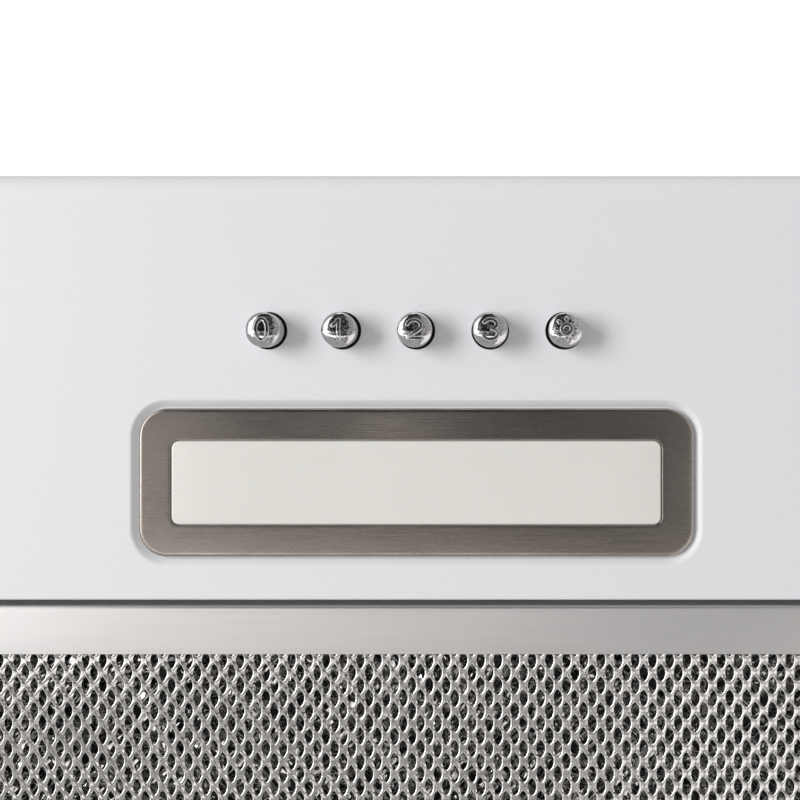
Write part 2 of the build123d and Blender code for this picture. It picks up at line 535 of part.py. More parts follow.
# ---------------------------------------------------------------- switch and buttons
with BuildPart() as switch_bracket:
    box_between((-BRACKET_X, BUTTON_Y - 12, DECK_Z), (BRACKET_X, BUTTON_Y + 12, DECK_Z + SHEET))
    for side in (-1, 1):
        leg = sorted((side * BRACKET_X, side * (BRACKET_X - SHEET)))
        foot = sorted((side * BRACKET_X, side * (BRACKET_X + 12)))
        box_between((leg[0], BUTTON_Y - 12, FLOOR_Z), (leg[1], BUTTON_Y + 12, DECK_Z + SHEET))
        box_between((foot[0], BUTTON_Y - 12, FLOOR_Z), (foot[1], BUTTON_Y + 12, FLOOR_Z + SHEET))
    for x in BUTTONS.values():
        disc(x, BUTTON_Y, DECK_Z - 1, DECK_Z + 2, STEM_R + 0.4, Mode.SUBTRACT)
save(switch_bracket, "switch_bracket")

with BuildPart() as switch_body:
    with Locations((0, BUTTON_Y, SWITCH_Z + SWITCH_H / 2)):
        Box(SWITCH_W, SWITCH_D, SWITCH_H)
        fillet(switch_body.edges().filter_by(Axis.Z), 2.0)
        Box(*[size - 2 * SWITCH_WALL for size in (SWITCH_W, SWITCH_D, SWITCH_H)], mode=Mode.SUBTRACT)
    for x in BUTTONS.values():
        disc(x, BUTTON_Y, SWITCH_Z - 1, SWITCH_Z + SWITCH_WALL + 1, STEM_R + 0.4, Mode.SUBTRACT)
save(switch_body, "switch_body")

with BuildPart() as switch_terminals:
    with Locations((0, BUTTON_Y, SWITCH_Z + SWITCH_H + 4)):
        with GridLocations(BUTTON_PITCH, 11, 5, 2):
            Box(0.8, 6.3, 8)
save(switch_terminals, "switch_terminals")

SPRING_H = DECK_Z - SHOULDER_Z - SPRING_WIRE_R * 2 - 0.2
for name, x in BUTTONS.items():
    with BuildPart() as cap:
        disc(x, BUTTON_Y, CAP_BOTTOM, CAP_TOP, BUTTON_R)
        with Locations((x, BUTTON_Y, CAP_BOTTOM + DOME_R)):
            Sphere(DOME_R, mode=Mode.INTERSECT)
        fillet(cap.faces().sort_by(Axis.Z)[0].edges(), 0.6)
    save(cap, f"button_cap_{name}")

    with BuildPart() as stem:
        disc(x, BUTTON_Y, SHOULDER_Z, SWITCH_Z + 11, STEM_R)
        fillet(stem.faces().sort_by(Axis.Z)[-1].edges(), 0.6)
        disc(x, BUTTON_Y, CAP_TOP, SHOULDER_Z, BUTTON_R)
        disc(x, BUTTON_Y, CAP_TOP, CAP_TOP + COLLAR_H, COLLAR_R)
    save(stem, f"button_stem_{name}")

    with BuildPart() as spring:
        with BuildLine():
            coil = Helix(SPRING_H / SPRING_TURNS, SPRING_H, SPRING_R, (x, BUTTON_Y, SHOULDER_Z + SPRING_WIRE_R))
        with BuildSketch(Plane(origin=coil @ 0, z_dir=coil % 0)):
            Circle(SPRING_WIRE_R)
        sweep(is_frenet=True)
    save(spring, f"button_spring_{name}")


# ---------------------------------------------------------------- strip lamp
def lamp_block(low, high, width, depth, radius, mode=Mode.ADD):
    """Adds a rounded block centred on the lamp, between two heights."""
    with BuildSketch(Plane.XY.offset(low)) as block:
        with Locations((0, LAMP_Y)):
            RectangleRounded(width, depth, radius)
    extrude(block.sketch, amount=high - low, mode=mode)


WINDOW_W, WINDOW_D = LAMP_W - 2 * LAMP_BORDER, LAMP_D - 2 * LAMP_BORDER
BEZEL_Z = FACE_Z - LAMP_PROUD
BEZEL_INNER_Z = BEZEL_Z + LAMP_SHEET
with BuildPart() as lamp_bezel:
    lamp_block(BEZEL_Z, POCKET_Z, LAMP_W, LAMP_D, LAMP_CORNER_R)
    fillet(lamp_bezel.faces().sort_by(Axis.Z)[0].edges(), 0.7)
    rim = 2 * LAMP_SHEET
    lamp_block(BEZEL_INNER_Z, POCKET_Z, LAMP_W - rim, LAMP_D - rim, LAMP_CORNER_R - LAMP_SHEET, Mode.SUBTRACT)
    lamp_block(BEZEL_Z, BEZEL_INNER_Z, WINDOW_W, WINDOW_D, LAMP_WINDOW_R, Mode.SUBTRACT)
save(lamp_bezel, "lamp_bezel")

with BuildPart() as lamp_diffuser:
    lamp_block(BEZEL_Z + 0.1, BEZEL_INNER_Z, WINDOW_W - 0.5, WINDOW_D - 0.5, LAMP_WINDOW_R - 0.25)
    fillet(lamp_diffuser.faces().sort_by(Axis.Z)[0].edges(), 0.3)
    lamp_block(BEZEL_INNER_Z, BEZEL_INNER_Z + 1.2, WINDOW_W + 5.2, WINDOW_D + 5.2, 3.0)
save(lamp_diffuser, "lamp_diffuser")

with BuildPart() as lamp_housing:
    lamp_block(BEZEL_INNER_Z, LAMP_HOUSING_TOP, LAMP_HOUSING_W, LAMP_HOUSING_D, 3.6)
    fillet(lamp_housing.faces().sort_by(Axis.Z)[-1].edges(), 1.0)
    lamp_block(BEZEL_INNER_Z, BEZEL_INNER_Z + 1.2, WINDOW_W + 5.6, WINDOW_D + 5.6, 3.2, Mode.SUBTRACT)
    lamp_block(
        BEZEL_INNER_Z + 1.2, LAMP_HOUSING_TOP - LAMP_WALL, WINDOW_W + 1, WINDOW_D + 1, 2.5, Mode.SUBTRACT
    )
    # moulded spring clips that grip the panel's sheet from above
    for side in (-1, 1):
        for y in (LAMP_Y - 9, LAMP_Y + 9):
            with BuildSketch(Plane.XZ.offset(-y - 2.5)):
                with BuildLine():
                    Polyline(
                        *[(side * (LAMP_HOUSING_W / 2 + x), POCKET_Z + SHEET + z) for x, z in LAMP_CLIP_OUTLINE],
                        close=True,
                    )
                make_face()
            extrude(amount=5)
save(lamp_housing, "lamp_housing")

with BuildPart() as lamp_board:
    board_z = LAMP_HOUSING_TOP - LAMP_WALL - 1.6
    lamp_block(board_z, board_z + 1.6, WINDOW_W - 2, WINDOW_D - 3, 1.0)
    with Locations((0, LAMP_Y, board_z - 0.5)):
        with GridLocations(10.5, 8.5, 12, 2):
            Box(3.2, 2.8, 1.0)
save(lamp_board, "lamp_board")

# ---------------------------------------------------------------- grease filter
with BuildPart() as filter_frame:
    box_between((-FILTER_X, FILTER_FRONT, FACE_Z), (FILTER_X, FILTER_REAR, FILTER_TOP))
    fillet(filter_frame.edges().filter_by(Axis.Z), 1.5)
    fillet(filter_frame.faces().sort_by(Axis.Z)[0].edges(), 0.8)
    box_between(
        (-FILTER_X + FILTER_SHEET, FILTER_FRONT + FILTER_SHEET, FACE_Z + FILTER_SHEET),
        (FILTER_X - FILTER_SHEET, FILTER_REAR - FILTER_SHEET, FILTER_TOP - FILTER_SHEET),
        Mode.SUBTRACT,
    )
    box_between(
        (-FILTER_X + FILTER_RIM, FILTER_FRONT + FILTER_RIM, FACE_Z - 1),
        (FILTER_X - FILTER_RIM, FILTER_REAR - FILTER_RIM, FILTER_TOP + 1),
        Mode.SUBTRACT,
    )
    # the latch's neck passes the lower flange, and its tongue passes the rear wall
    box_between(*LATCH_NECK_SLOT, Mode.SUBTRACT)
    box_between(
        (-LATCH_HALF_W - 0.4, FILTER_REAR - 2, LATCH_LOW - 0.4),
        (LATCH_HALF_W + 0.4, FILTER_REAR + 1, LATCH_HIGH + 0.4),
        Mode.SUBTRACT,
    )
save(filter_frame, "filter_frame")


def mesh_layer(low, columns, rows, slant):
    """One flat net of the filter: slanted pointed gaps in even rows."""
    pitch_x, pitch_y = (MESH_W - 2 * MESH_RIM) / columns, (MESH_D - 2 * MESH_RIM) / rows
    tip, side, lean = 0.45 * pitch_y, 0.43 * pitch_x, slant * pitch_x
    with BuildPart() as net:
        with BuildSketch(Plane.XY.offset(low)):
            with Locations((0, FILTER_MID_Y)):
                Rectangle(MESH_W, MESH_D)
                with GridLocations(pitch_x, pitch_y, columns, rows):
                    Polygon((lean, tip), (-side, 0.5 * tip), (-side, -0.3 * tip), (-lean, -tip),
                            (side, -0.5 * tip), (side, 0.3 * tip), mode=Mode.SUBTRACT)
        extrude(amount=MESH_SHEET)
    return net.part


def latch_notch():
    """Cuts the meshes back, inside the frame's rim, to make room for the latch tongue."""
    box_between((-22, FILTER_REAR - FILTER_RIM, FACE_Z), (22, FILTER_REAR, FILTER_TOP), Mode.SUBTRACT)


FACE_MESH_Z = FACE_Z + FILTER_SHEET
BACK_MESH_Z = FILTER_TOP - FILTER_SHEET - MESH_SHEET
for name, mesh_z, slant in (("face", FACE_MESH_Z, 0.12), ("back", BACK_MESH_Z, -0.2)):
    with BuildPart() as net:
        add(mesh_layer(mesh_z, 30, 10, slant))
        latch_notch()
    save(net, f"filter_{name}_mesh")

# the core: three crossed nets, kept apart by a strip that runs round them inside the frame's rim
CORE_LOW, CORE_HIGH = FACE_MESH_Z + MESH_SHEET, BACK_MESH_Z
with BuildPart() as filter_core_mesh:
    with BuildSketch(Plane.XY.offset(CORE_LOW)):
        with Locations((0, FILTER_MID_Y)):
            Rectangle(MESH_W, MESH_D)
            Rectangle(MESH_W - 4, MESH_D - 4, mode=Mode.SUBTRACT)
    extrude(amount=CORE_HIGH - CORE_LOW)
    for i, (columns, rows, slant) in enumerate(((24, 8, -0.12), (27, 9, 0.2), (22, 7, -0.2))):
        add(mesh_layer(CORE_LOW + (i + 0.5) * (CORE_HIGH - CORE_LOW) / 3, columns, rows, slant))
    latch_notch()
save(filter_core_mesh, "filter_core_mesh")

with BuildPart() as filter_hooks:
    for x in (-HOOK_X, HOOK_X):
        low, high = HOOK_Z, HOOK_Z + FILTER_SHEET
        box_between((x - HOOK_W / 2, FILTER_FRONT - HOOK_REACH, low), (x + HOOK_W / 2, FILTER_FRONT, high))
        box_between((x - HOOK_W / 2, FILTER_FRONT - FILTER_SHEET, low), (x + HOOK_W / 2, FILTER_FRONT, low + 6))
    fillet(filter_hooks.edges().filter_by(Axis.Z).group_by(Axis.Y)[0], 3.0)
save(filter_hooks, "filter_hooks")

with BuildPart() as latch_plate:
    box_between((-20, FILTER_REAR - 12.7, FACE_Z - 1), (20, FILTER_REAR - 0.8, FACE_Z))
    fillet(latch_plate.edges().filter_by(Axis.Z), 2.0)
    box_between(*LATCH_NECK_SLOT, Mode.SUBTRACT)
save(latch_plate, "latch_plate")

with BuildPart() as latch_slide:
    box_between((-LATCH_HALF_W, FILTER_REAR - 11.8, LATCH_LOW), (LATCH_HALF_W, FILTER_REAR - 0.1, LATCH_HIGH))
    box_between((-4, NECK_Y, FACE_Z - 2.4), (4, NECK_Y + 4, LATCH_LOW))
    box_between((-9, NECK_Y - 2.5, FACE_Z - 3.6), (9, NECK_Y + 6.0, FACE_Z - 1.4))
    fillet(latch_slide.faces().sort_by(Axis.Z)[0].edges(), 0.6)
save(latch_slide, "latch_slide")
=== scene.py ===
"""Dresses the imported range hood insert: finishes for its solids, finer meshes, light and camera.

Metres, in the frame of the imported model: +Z is up, and the hood's visible face looks down. Solids
whose shape is right keep it and only get a finish. The chrome buttons and their springs, the lamp's
bezel and window and the filter's expanded foil are replaced by finer surfaces in the same place.
"""

import functools
import logging
import math
from dataclasses import dataclass, replace
from enum import Enum
from typing import Any, Iterable, Sequence

import bmesh
import bpy
import numpy as np
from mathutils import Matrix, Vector


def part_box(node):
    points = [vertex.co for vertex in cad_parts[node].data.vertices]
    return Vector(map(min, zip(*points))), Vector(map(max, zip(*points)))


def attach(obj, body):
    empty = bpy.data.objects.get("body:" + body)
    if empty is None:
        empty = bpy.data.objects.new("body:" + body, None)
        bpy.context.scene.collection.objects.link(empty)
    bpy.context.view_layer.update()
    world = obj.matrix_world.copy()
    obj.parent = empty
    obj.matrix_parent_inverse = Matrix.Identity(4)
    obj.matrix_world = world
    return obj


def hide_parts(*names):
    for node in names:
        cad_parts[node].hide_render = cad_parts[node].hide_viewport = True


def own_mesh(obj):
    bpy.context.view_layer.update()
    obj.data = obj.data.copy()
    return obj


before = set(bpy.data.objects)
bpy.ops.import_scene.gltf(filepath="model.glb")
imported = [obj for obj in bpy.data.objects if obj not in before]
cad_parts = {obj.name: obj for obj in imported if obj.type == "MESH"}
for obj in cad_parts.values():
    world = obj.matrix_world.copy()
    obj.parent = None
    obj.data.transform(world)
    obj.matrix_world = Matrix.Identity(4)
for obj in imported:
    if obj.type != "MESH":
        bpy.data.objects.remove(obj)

LOG = logging.getLogger("hood")
MM = 0.001
LATHE_STEPS = 96  # corners round a turned piece
POLE = 2e-5  # radius in metres of the smallest ring round a pole
DOUBLES = 1e-7  # corners closer than this, in metres, are one

Colour = tuple[float, float, float, float]
Array = np.ndarray


# ---- small helpers ----


def linear(code: str) -> Colour:
    """Turns an sRGB hex colour into the linear values that shaders use.

    Args:
        code: six hex digits, with or without a leading #.

    Returns:
        Linear red, green and blue, and an alpha of 1.
    """
    digits = code.lstrip("#")
    channels = [int(digits[i : i + 2], 16) / 255 for i in (0, 2, 4)]
    lit = [c / 12.92 if c <= 0.04045 else ((c + 0.055) / 1.055) ** 2.4 for c in channels]
    return (lit[0], lit[1], lit[2], 1.0)


def add_node(
    tree: bpy.types.NodeTree,
    kind: str,
    settings: dict[str, Any] | None = None,
    inputs: dict[Any, Any] | None = None,
) -> bpy.types.Node:
    """Adds a node, sets its options, and fills or links its inputs.

    Args:
        tree: the node tree that gets the node.
        kind: the node's type name.
        settings: the node's own options by name.
        inputs: by input name or number, a constant, or a socket to link.

    Returns:
        The new node.
    """
    node = tree.nodes.new(kind)
    for name, value in (settings or {}).items():
        setattr(node, name, value)
    for name, value in (inputs or {}).items():
        if isinstance(value, bpy.types.NodeSocket):
            tree.links.new(value, node.inputs[name])
        else:
            node.inputs[name].default_value = value
    return node


def blank_material(name: str) -> bpy.types.Material:
    """Makes a material whose node tree is empty."""
    material = bpy.data.materials.new(name)
    material.use_nodes = True
    material.node_tree.nodes.clear()
    return material


def add_object(name: str, data: bpy.types.ID) -> bpy.types.Object:
    """Makes an object of a mesh, a lamp or a camera, and puts it in the scene."""
    thing = bpy.data.objects.new(name, data)
    bpy.context.scene.collection.objects.link(thing)
    return thing


def new_mesh(name: str, vertices: Array, faces: Sequence[Array], smooth: bool = True) -> bpy.types.Object:
    """Makes an object at the origin from whole arrays of corners and faces.

    Args:
        name: the piece's name.
        vertices: corner places in metres, one row each.
        faces: arrays of corner numbers, each with the same count per row.
        smooth: whether its faces are shaded smooth.

    Returns:
        The linked object.
    """
    mesh = bpy.data.meshes.new(name)
    counts = np.concatenate([np.full(len(f), f.shape[1]) for f in faces]).astype(np.int32)
    loops = np.concatenate([f.ravel() for f in faces]).astype(np.int32)
    mesh.vertices.add(len(vertices))
    mesh.vertices.foreach_set("co", np.ascontiguousarray(vertices, dtype=np.float32).ravel())
    mesh.loops.add(len(loops))
    mesh.loops.foreach_set("vertex_index", loops)
    mesh.polygons.add(len(counts))
    mesh.polygons.foreach_set("loop_start", np.concatenate([[0], np.cumsum(counts)[:-1]]).astype(np.int32))
    mesh.polygons.foreach_set("use_smooth", np.full(len(counts), smooth))
    mesh.update(calc_edges=True)
    mesh.validate()
    return add_object(name, mesh)


def grid_faces(rows: int, columns: int, wrap: bool = False) -> Array:
    """Numbers the quads of a grid of corners stored row by row.

    Args:
        rows: corners down the grid.
        columns: corners across it.
        wrap: whether the last column joins the first.

    Returns:
        One row of four corner numbers per quad.
    """
    across = np.arange(columns if wrap else columns - 1)
    down = np.arange(rows - 1)
    i, j = np.meshgrid(down, across, indexing="ij")
    right = (j + 1) % columns
    quads = [i * columns + j, i * columns + right, (i + 1) * columns + right, (i + 1) * columns + j]
    return np.stack(quads, axis=-1).reshape(-1, 4)


def rounded_outline(width: float, depth: float, radius: float, corner: int = 14, side: int = 3) -> Array:
    """Points round a rectangle with rounded corners, always the same number for the same counts.

    Each corner is a quarter circle about its own centre, and each side is divided evenly between
    two corners.

    Args:
        width: overall size along X.
        depth: overall size along Y.
        radius: corner radius.
        corner: steps in each quarter circle.
        side: steps along each side.

    Returns:
        Points as an array of (x, y), going anticlockwise from the right-hand side.
    """
    turns = np.linspace(0, math.pi / 2, corner + 1)
    signs = np.array([(1, 1), (-1, 1), (-1, -1), (1, -1)])
    centres = signs * np.array([width / 2 - radius, depth / 2 - radius])
    start = np.arange(4)[:, None] * math.pi / 2
    angles = start + turns[None, :]
    arcs = centres[:, None, :] + radius * np.stack([np.cos(angles), np.sin(angles)], axis=-1)
    following = np.roll(arcs, -1, axis=0)[:, 0, :]
    share = np.linspace(0, 1, side + 1)[1:-1][None, :, None]
    straight = arcs[:, -1, None, :] * (1 - share) + following[:, None, :] * share
    return np.concatenate([arcs, straight], axis=1).reshape(-1, 2)


def quarter(start: float, turn: float, steps: int = 6) -> Array:
    """Cosine and sine along an arc, for a rounded edge in a profile.

    Args:
        start: first angle in degrees.
        turn: how far the arc goes, in degrees.
        steps: how many steps it takes.

    Returns:
        Rows of (cosine, sine).
    """
    angles = np.radians(np.linspace(start, start + turn, steps + 1))
    return np.stack([np.cos(angles), np.sin(angles)], axis=-1)


def pole_fans(rings: int, count: int) -> list[Array]:
    """Numbers the triangles that close a tube of rings at two poles stored after them.

    Args:
        rings: how many rings the tube has.
        count: corners in each ring.

    Returns:
        The triangles on the first ring, and those on the last.
    """
    around = np.arange(count)
    following = (around + 1) % count
    pole, end = rings * count, (rings - 1) * count
    first = np.stack([np.full(count, pole), following, around], axis=-1)
    last = np.stack([np.full(count, pole + 1), end + around, end + following], axis=-1)
    return [first, last]


def lathe(profile: Array, centre: tuple[float, float]) -> tuple[Array, Array]:
    """Turns a profile about an upright axis: x = r cos t, y = r sin t, z as given.

    Args:
        profile: rows of (radius, height), from the tip to the last ring.
        centre: the axis's place in X and Y.

    Returns:
        Corner places, and quads between the rings.
    """
    turn = np.linspace(0, 2 * math.pi, LATHE_STEPS, endpoint=False)
    radius, height = profile[:, 0][:, None], profile[:, 1][:, None]
    x = centre[0] + radius * np.cos(turn)
    y = centre[1] + radius * np.sin(turn)
    z = np.broadcast_to(height, x.shape)
    return np.stack([x, y, z], axis=-1).reshape(-1, 3), grid_faces(len(profile), LATHE_STEPS, wrap=True)


def outward(piece: bpy.types.Object) -> None:
    """Merges doubled corners and turns every face of a closed piece outwards."""
    work = bmesh.new()
    work.from_mesh(piece.data)
    bmesh.ops.remove_doubles(work, verts=work.verts, dist=DOUBLES)
    bmesh.ops.recalc_face_normals(work, faces=work.faces)
    work.to_mesh(piece.data)
    work.free()


def dress(piece: bpy.types.Object, *materials: bpy.types.Material) -> None:
    """Fills a piece's material slots in order, and the ones left over with the first material."""
    slots = piece.data.materials
    while len(slots) < len(materials):
        slots.append(materials[len(slots)])
    for number in range(len(slots)):
        slots[number] = materials[number] if number < len(materials) else materials[0]


def install(
    piece: bpy.types.Object, body: str, finishes: Sequence["Finish"], stands_for: str = ""
) -> None:
    """Puts a new piece on its body and gives it its finishes.

    Args:
        piece: the new piece.
        body: the body that it moves with.
        finishes: its finishes, one per material slot.
        stands_for: the solid that it takes the place of, if there is one.
    """
    dress(piece, *(finish.build() for finish in finishes))
    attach(piece, body)
    if stands_for:
        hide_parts(stands_for)
    LOG.info("%s: %d faces on %s", piece.name, len(piece.data.polygons), body)


# ---- finishes ----
MARKS_LOW, MARKS_HIGH = 0.3, 0.7  # the part of a pattern's values that its marks fill
MIRROR_ROUGHNESS = 0.02  # no surface here is smoother
SCATTER_DEPTH = 0.002  # how deep light goes into a milky plastic, in metres


class Pattern(Enum):
    """What the surface of a finish shows from close by."""

    POWDER = "fine orange peel"
    BRUSHED = "straight brushing along X"
    SPANGLE = "zinc crystals"
    GRAINED = "moulded grain"
    SMOOTH = "smooth, with faint waves"
    FOIL = "rolled foil, bent and dulled"
    STACKED = "stacked sheets along X"
    WOUND = "wound wire about X"


@dataclass(frozen=True)
class Finish:
    """One real finish: its colour and shine, and the pattern that breaks them up.

    Attributes:
        name: the material's name.
        colour: main colour, sRGB hex.
        second: the colour that the pattern mixes in, sRGB hex.
        pattern: what kind of pattern it is.
        grain_mm: the size of the pattern's marks.
        roughness: middle roughness.
        spread: how far roughness goes up and down with the pattern.
        metallic: 1 for bare metal, 0 for paint and plastic.
        relief_mm: the height of the pattern's relief.
        mix: how much of the second colour shows at most.
        coat: weight of a clear coat.
        scatter: weight of light scattered under the surface.
        shine: how strongly the skin mirrors, 0.5 for common paint, plastic and bare metal.
    """

    name: str
    colour: str
    second: str
    pattern: Pattern
    grain_mm: float
    roughness: float
    spread: float = 0.05
    metallic: float = 0.0
    relief_mm: float = 0.02
    mix: float = 0.5
    coat: float = 0.0
    scatter: float = 0.0
    shine: float = 0.5

    def marks(self, tree: bpy.types.NodeTree) -> bpy.types.NodeSocket:
        """Adds the nodes of the pattern.

        Args:
            tree: the material's node tree.

        Returns:
            A socket that runs from 0 to 1 over the pattern's marks.
        """
        place = add_node(tree, "ShaderNodeTexCoord").outputs["Object"]
        fine = 1.0 / (self.grain_mm * MM)
        stretch = {
            Pattern.BRUSHED: (0.02 * fine, fine, fine),
            Pattern.STACKED: (fine, 0.0, 0.0),
        }.get(self.pattern, (fine, fine, fine))
        mapped = add_node(tree, "ShaderNodeMapping", inputs={"Vector": place, "Scale": stretch})
        vector = mapped.outputs["Vector"]
        if self.pattern is Pattern.SPANGLE:
            cells = add_node(
                tree,
                "ShaderNodeTexVoronoi",
                {"feature": "F1"},
                {"Vector": vector, "Scale": 1.0, "Randomness": 1.0},
            )
            grey = add_node(tree, "ShaderNodeSeparateColor", inputs={"Color": cells.outputs["Color"]})
            return grey.outputs["Red"]
        if self.pattern is Pattern.STACKED:
            return add_node(
                tree,
                "ShaderNodeTexWave",
                {"bands_direction": "X"},
                {"Vector": vector, "Scale": 0.5, "Distortion": 0.0},
            ).outputs["Fac"]
        if self.pattern is Pattern.WOUND:
            return add_node(
                tree,
                "ShaderNodeTexWave",
                {"wave_type": "RINGS", "rings_direction": "X"},
                {"Vector": vector, "Scale": 0.5, "Distortion": 1.5, "Detail": 1.0},
            ).outputs["Fac"]
        detail = {Pattern.SMOOTH: 1.0, Pattern.POWDER: 2.0}.get(self.pattern, 4.0)
        return add_node(
            tree,
            "ShaderNodeTexNoise",
            inputs={"Vector": vector, "Scale": 1.0, "Detail": detail, "Roughness": 0.6},
        ).outputs["Fac"]

    @functools.cache
    def build(self) -> bpy.types.Material:
        """Makes the material once, and gives the same one when asked again."""
        material = blank_material(self.name)
        tree = material.node_tree
        marks = self.marks(tree)
        spread_out = {"Value": marks, "From Min": MARKS_LOW, "From Max": MARKS_HIGH}
        blend = add_node(tree, "ShaderNodeMapRange", inputs={**spread_out, "To Max": self.mix})
        colour = add_node(
            tree,
            "ShaderNodeMix",
            {"data_type": "RGBA"},
            {"Factor": blend.outputs["Result"], "A": linear(self.colour), "B": linear(self.second)},
        )
        rough = add_node(
            tree,
            "ShaderNodeMapRange",
            inputs={
                **spread_out,
                "To Min": max(self.roughness - self.spread, MIRROR_ROUGHNESS),
                "To Max": self.roughness + self.spread,
            },
        )
        bump = add_node(
            tree,
            "ShaderNodeBump",
            inputs={"Height": marks, "Strength": 1.0, "Distance": self.relief_mm * MM},
        )
        colour_out = next(o for o in colour.outputs if o.type == "RGBA")
        shader = add_node(
            tree,
            "ShaderNodeBsdfPrincipled",
            inputs={
                "Base Color": colour_out,
                "Roughness": rough.outputs["Result"],
                "Normal": bump.outputs["Normal"],
                "Metallic": self.metallic,
                "Specular IOR Level": self.shine,
                "Coat Weight": self.coat,
                "Coat Roughness": 0.1,
                "Subsurface Weight": self.scatter,
                "Subsurface Scale": SCATTER_DEPTH,
            },
        )
        add_node(tree, "ShaderNodeOutputMaterial", inputs={"Surface": shader.outputs["BSDF"]})
        return material


# Polyester powder coat, sprayed and baked: an even soft white with a very fine orange peel.
POWDER_COAT = Finish(
    "polyester_powder_coat", "EAEBED", "E4E5E8", Pattern.POWDER, 0.9, 0.50, 0.04, relief_mm=0.004, shine=0.3
)
# Hot-dip galvanised sheet: dull grey zinc crystals of some millimetres, a shade apart.
GALVANISED = Finish(
    "hot_dip_galvanised_sheet", "B2B6B9", "9A9FA2", Pattern.SPANGLE, 6.0, 0.46, 0.05, 0.85, 0.004, 1.0
)
# Bright zinc plating on small turned and pressed steel.
ZINC_PLATE = Finish(
    "bright_zinc_plating", "C2C4C4", "A9A89E", Pattern.SMOOTH, 2.5, 0.28, 0.06, 1.0, 0.01, 0.6
)
# Stainless steel sheet brushed lengthways, which draws the room out into dark warm streaks.
BRUSHED_STAINLESS = Finish(
    "brushed_stainless_steel", "B9B2AC", "9D9690", Pattern.BRUSHED, 0.35, 0.24, 0.07, 1.0, 0.004, 0.8
)
# Nickel-chrome plating on a polished plastic moulding.
CHROME_PLATE = Finish(
    "bright_chrome_plating", "D2D3D6", "C8C9CC", Pattern.SMOOTH, 1.3, 0.05, 0.02, 1.0, 0.03, 0.5
)
# Opal acrylic: milky, with a soft satin skin.
OPAL_ACRYLIC = Finish(
    "opal_acrylic", "E9E6E0", "E5E2DC", Pattern.SMOOTH, 30.0, 0.38, 0.03, 0.0, 0.002, 0.6, 0.0, 0.15
)
# Anodised aluminium profile with a matt etched skin.
SATIN_ALUMINIUM = Finish(
    "satin_anodised_aluminium", "D4D5D6", "CBCCCE", Pattern.BRUSHED, 0.6, 0.32, 0.03, 0.85, 0.003, 0.5
)
# Aluminium foil, slit and stretched: bright where it was cut, dulled by handling elsewhere.
BRIGHT_FOIL = Finish(
    "expanded_aluminium_foil", "E2E2E1", "CECECC", Pattern.FOIL, 1.3, 0.19, 0.04, 1.0, 0.004, 0.8
)
# The same foil deeper in the filter, coloured darker as painted shade for the dim light between the layers.
SHADED_INNER_FOIL = Finish(
    "inner_aluminium_foil_painted_shade", "D0D0CE", "8E8E8C", Pattern.FOIL, 1.1, 0.13, 0.05, 1.0, 0.006, 0.9
)
# The foil's sheared edges: a rough fresh cut that catches the window as a thin white line.
CUT_FOIL = Finish(
    "sheared_aluminium_edge", "F4F4F3", "E6E6E4", Pattern.FOIL, 0.6, 0.50, 0.05, 1.0, 0.002, 0.5
)
# Glass-filled polypropylene mouldings inside the casing.
GREY_MOULDING = Finish(
    "grey_polypropylene", "5F6265", "55585B", Pattern.GRAINED, 0.6, 0.55, 0.05, relief_mm=0.02
)
BLACK_MOULDING = Finish(
    "black_polyamide", "1B1B1C", "242425", Pattern.GRAINED, 0.5, 0.46, 0.06, relief_mm=0.02
)
WHITE_MOULDING = Finish("white_abs", "DDDCD6", "D5D4CE", Pattern.GRAINED, 0.8, 0.40, 0.04, relief_mm=0.008)
# Punched electrical steel sheets of about half a millimetre, seen edge-on as fine lines.
LAMINATIONS = Finish(
    "punched_steel_laminations", "4E4F52", "333437", Pattern.STACKED, 1.0, 0.45, 0.05, 0.8, 0.05, 1.0
)
# Enamelled copper wire laid round the stator.
COPPER_WIRE = Finish("enamelled_copper", "B8672E", "7C3B14", Pattern.WOUND, 0.9, 0.33, 0.06, 0.9, 0.12, 0.9)
# Tinned brass tabs.
BRASS = Finish("tinned_brass", "C9AE6E", "B59A5B", Pattern.SMOOTH, 3.0, 0.30, 0.05, 1.0, 0.005, 0.6)
# White solder mask over glass-epoxy board.
SOLDER_MASK = Finish(
    "white_solder_mask", "E4E6E2", "D8DAD6", Pattern.SMOOTH, 2.0, 0.35, 0.05, relief_mm=0.01
)
# Soft PVC sheath of the inner leads.
PVC_SHEATH = Finish("grey_pvc_sheath", "9A9C9E", "8C8E90", Pattern.GRAINED, 1.2, 0.5, 0.05, relief_mm=0.02)


# ---- buttons ----


def arc(
    centre: tuple[float, float], radii: tuple[float, float], start: float, turn: float, steps: int = 24
) -> Array:
    """Points on an ellipse's arc, angles in degrees from +X towards +Y."""
    return np.array(centre) + np.array(radii) * quarter(start, turn, steps)


class Sign(Enum):
    """What stands on each button, as strokes in a square of side 1 about its centre, Y up."""

    ZERO = "0"
    ONE = "1"
    TWO = "2"
    THREE = "3"
    LAMP = "light"

    def strokes(self) -> list[Array]:
        """The sign's centre lines, each a row of points."""
        if self is Sign.ZERO:
            return [arc((0, 0), (0.225, 0.40), 90, 360, 48)]
        if self is Sign.ONE:
            return [np.array([(-0.20, 0.14), (-0.08, 0.24), (0.03, 0.39), (0.03, 0.0), (0.03, -0.40)])]
        if self is Sign.TWO:
            bowl = arc((0, 0.14), (0.27, 0.21), 165, -200)
            return [np.concatenate([bowl, [(-0.28, -0.35), (0.0, -0.35), (0.30, -0.35)]])]
        if self is Sign.THREE:
            upper = arc((0, 0.19), (0.25, 0.19), 155, -235)
            lower = arc((0, -0.18), (0.28, 0.21), 80, -235)
            return [np.concatenate([upper, lower])]
        ring = arc((0, 0), (0.19, 0.19), 0, 360, 32)
        angles = np.radians(np.arange(0, 360, 45))
        ways = np.stack([np.cos(angles), np.sin(angles)], axis=-1)
        return [ring, *(way * np.array([[0.38], [0.41], [0.44]]) for way in ways)]


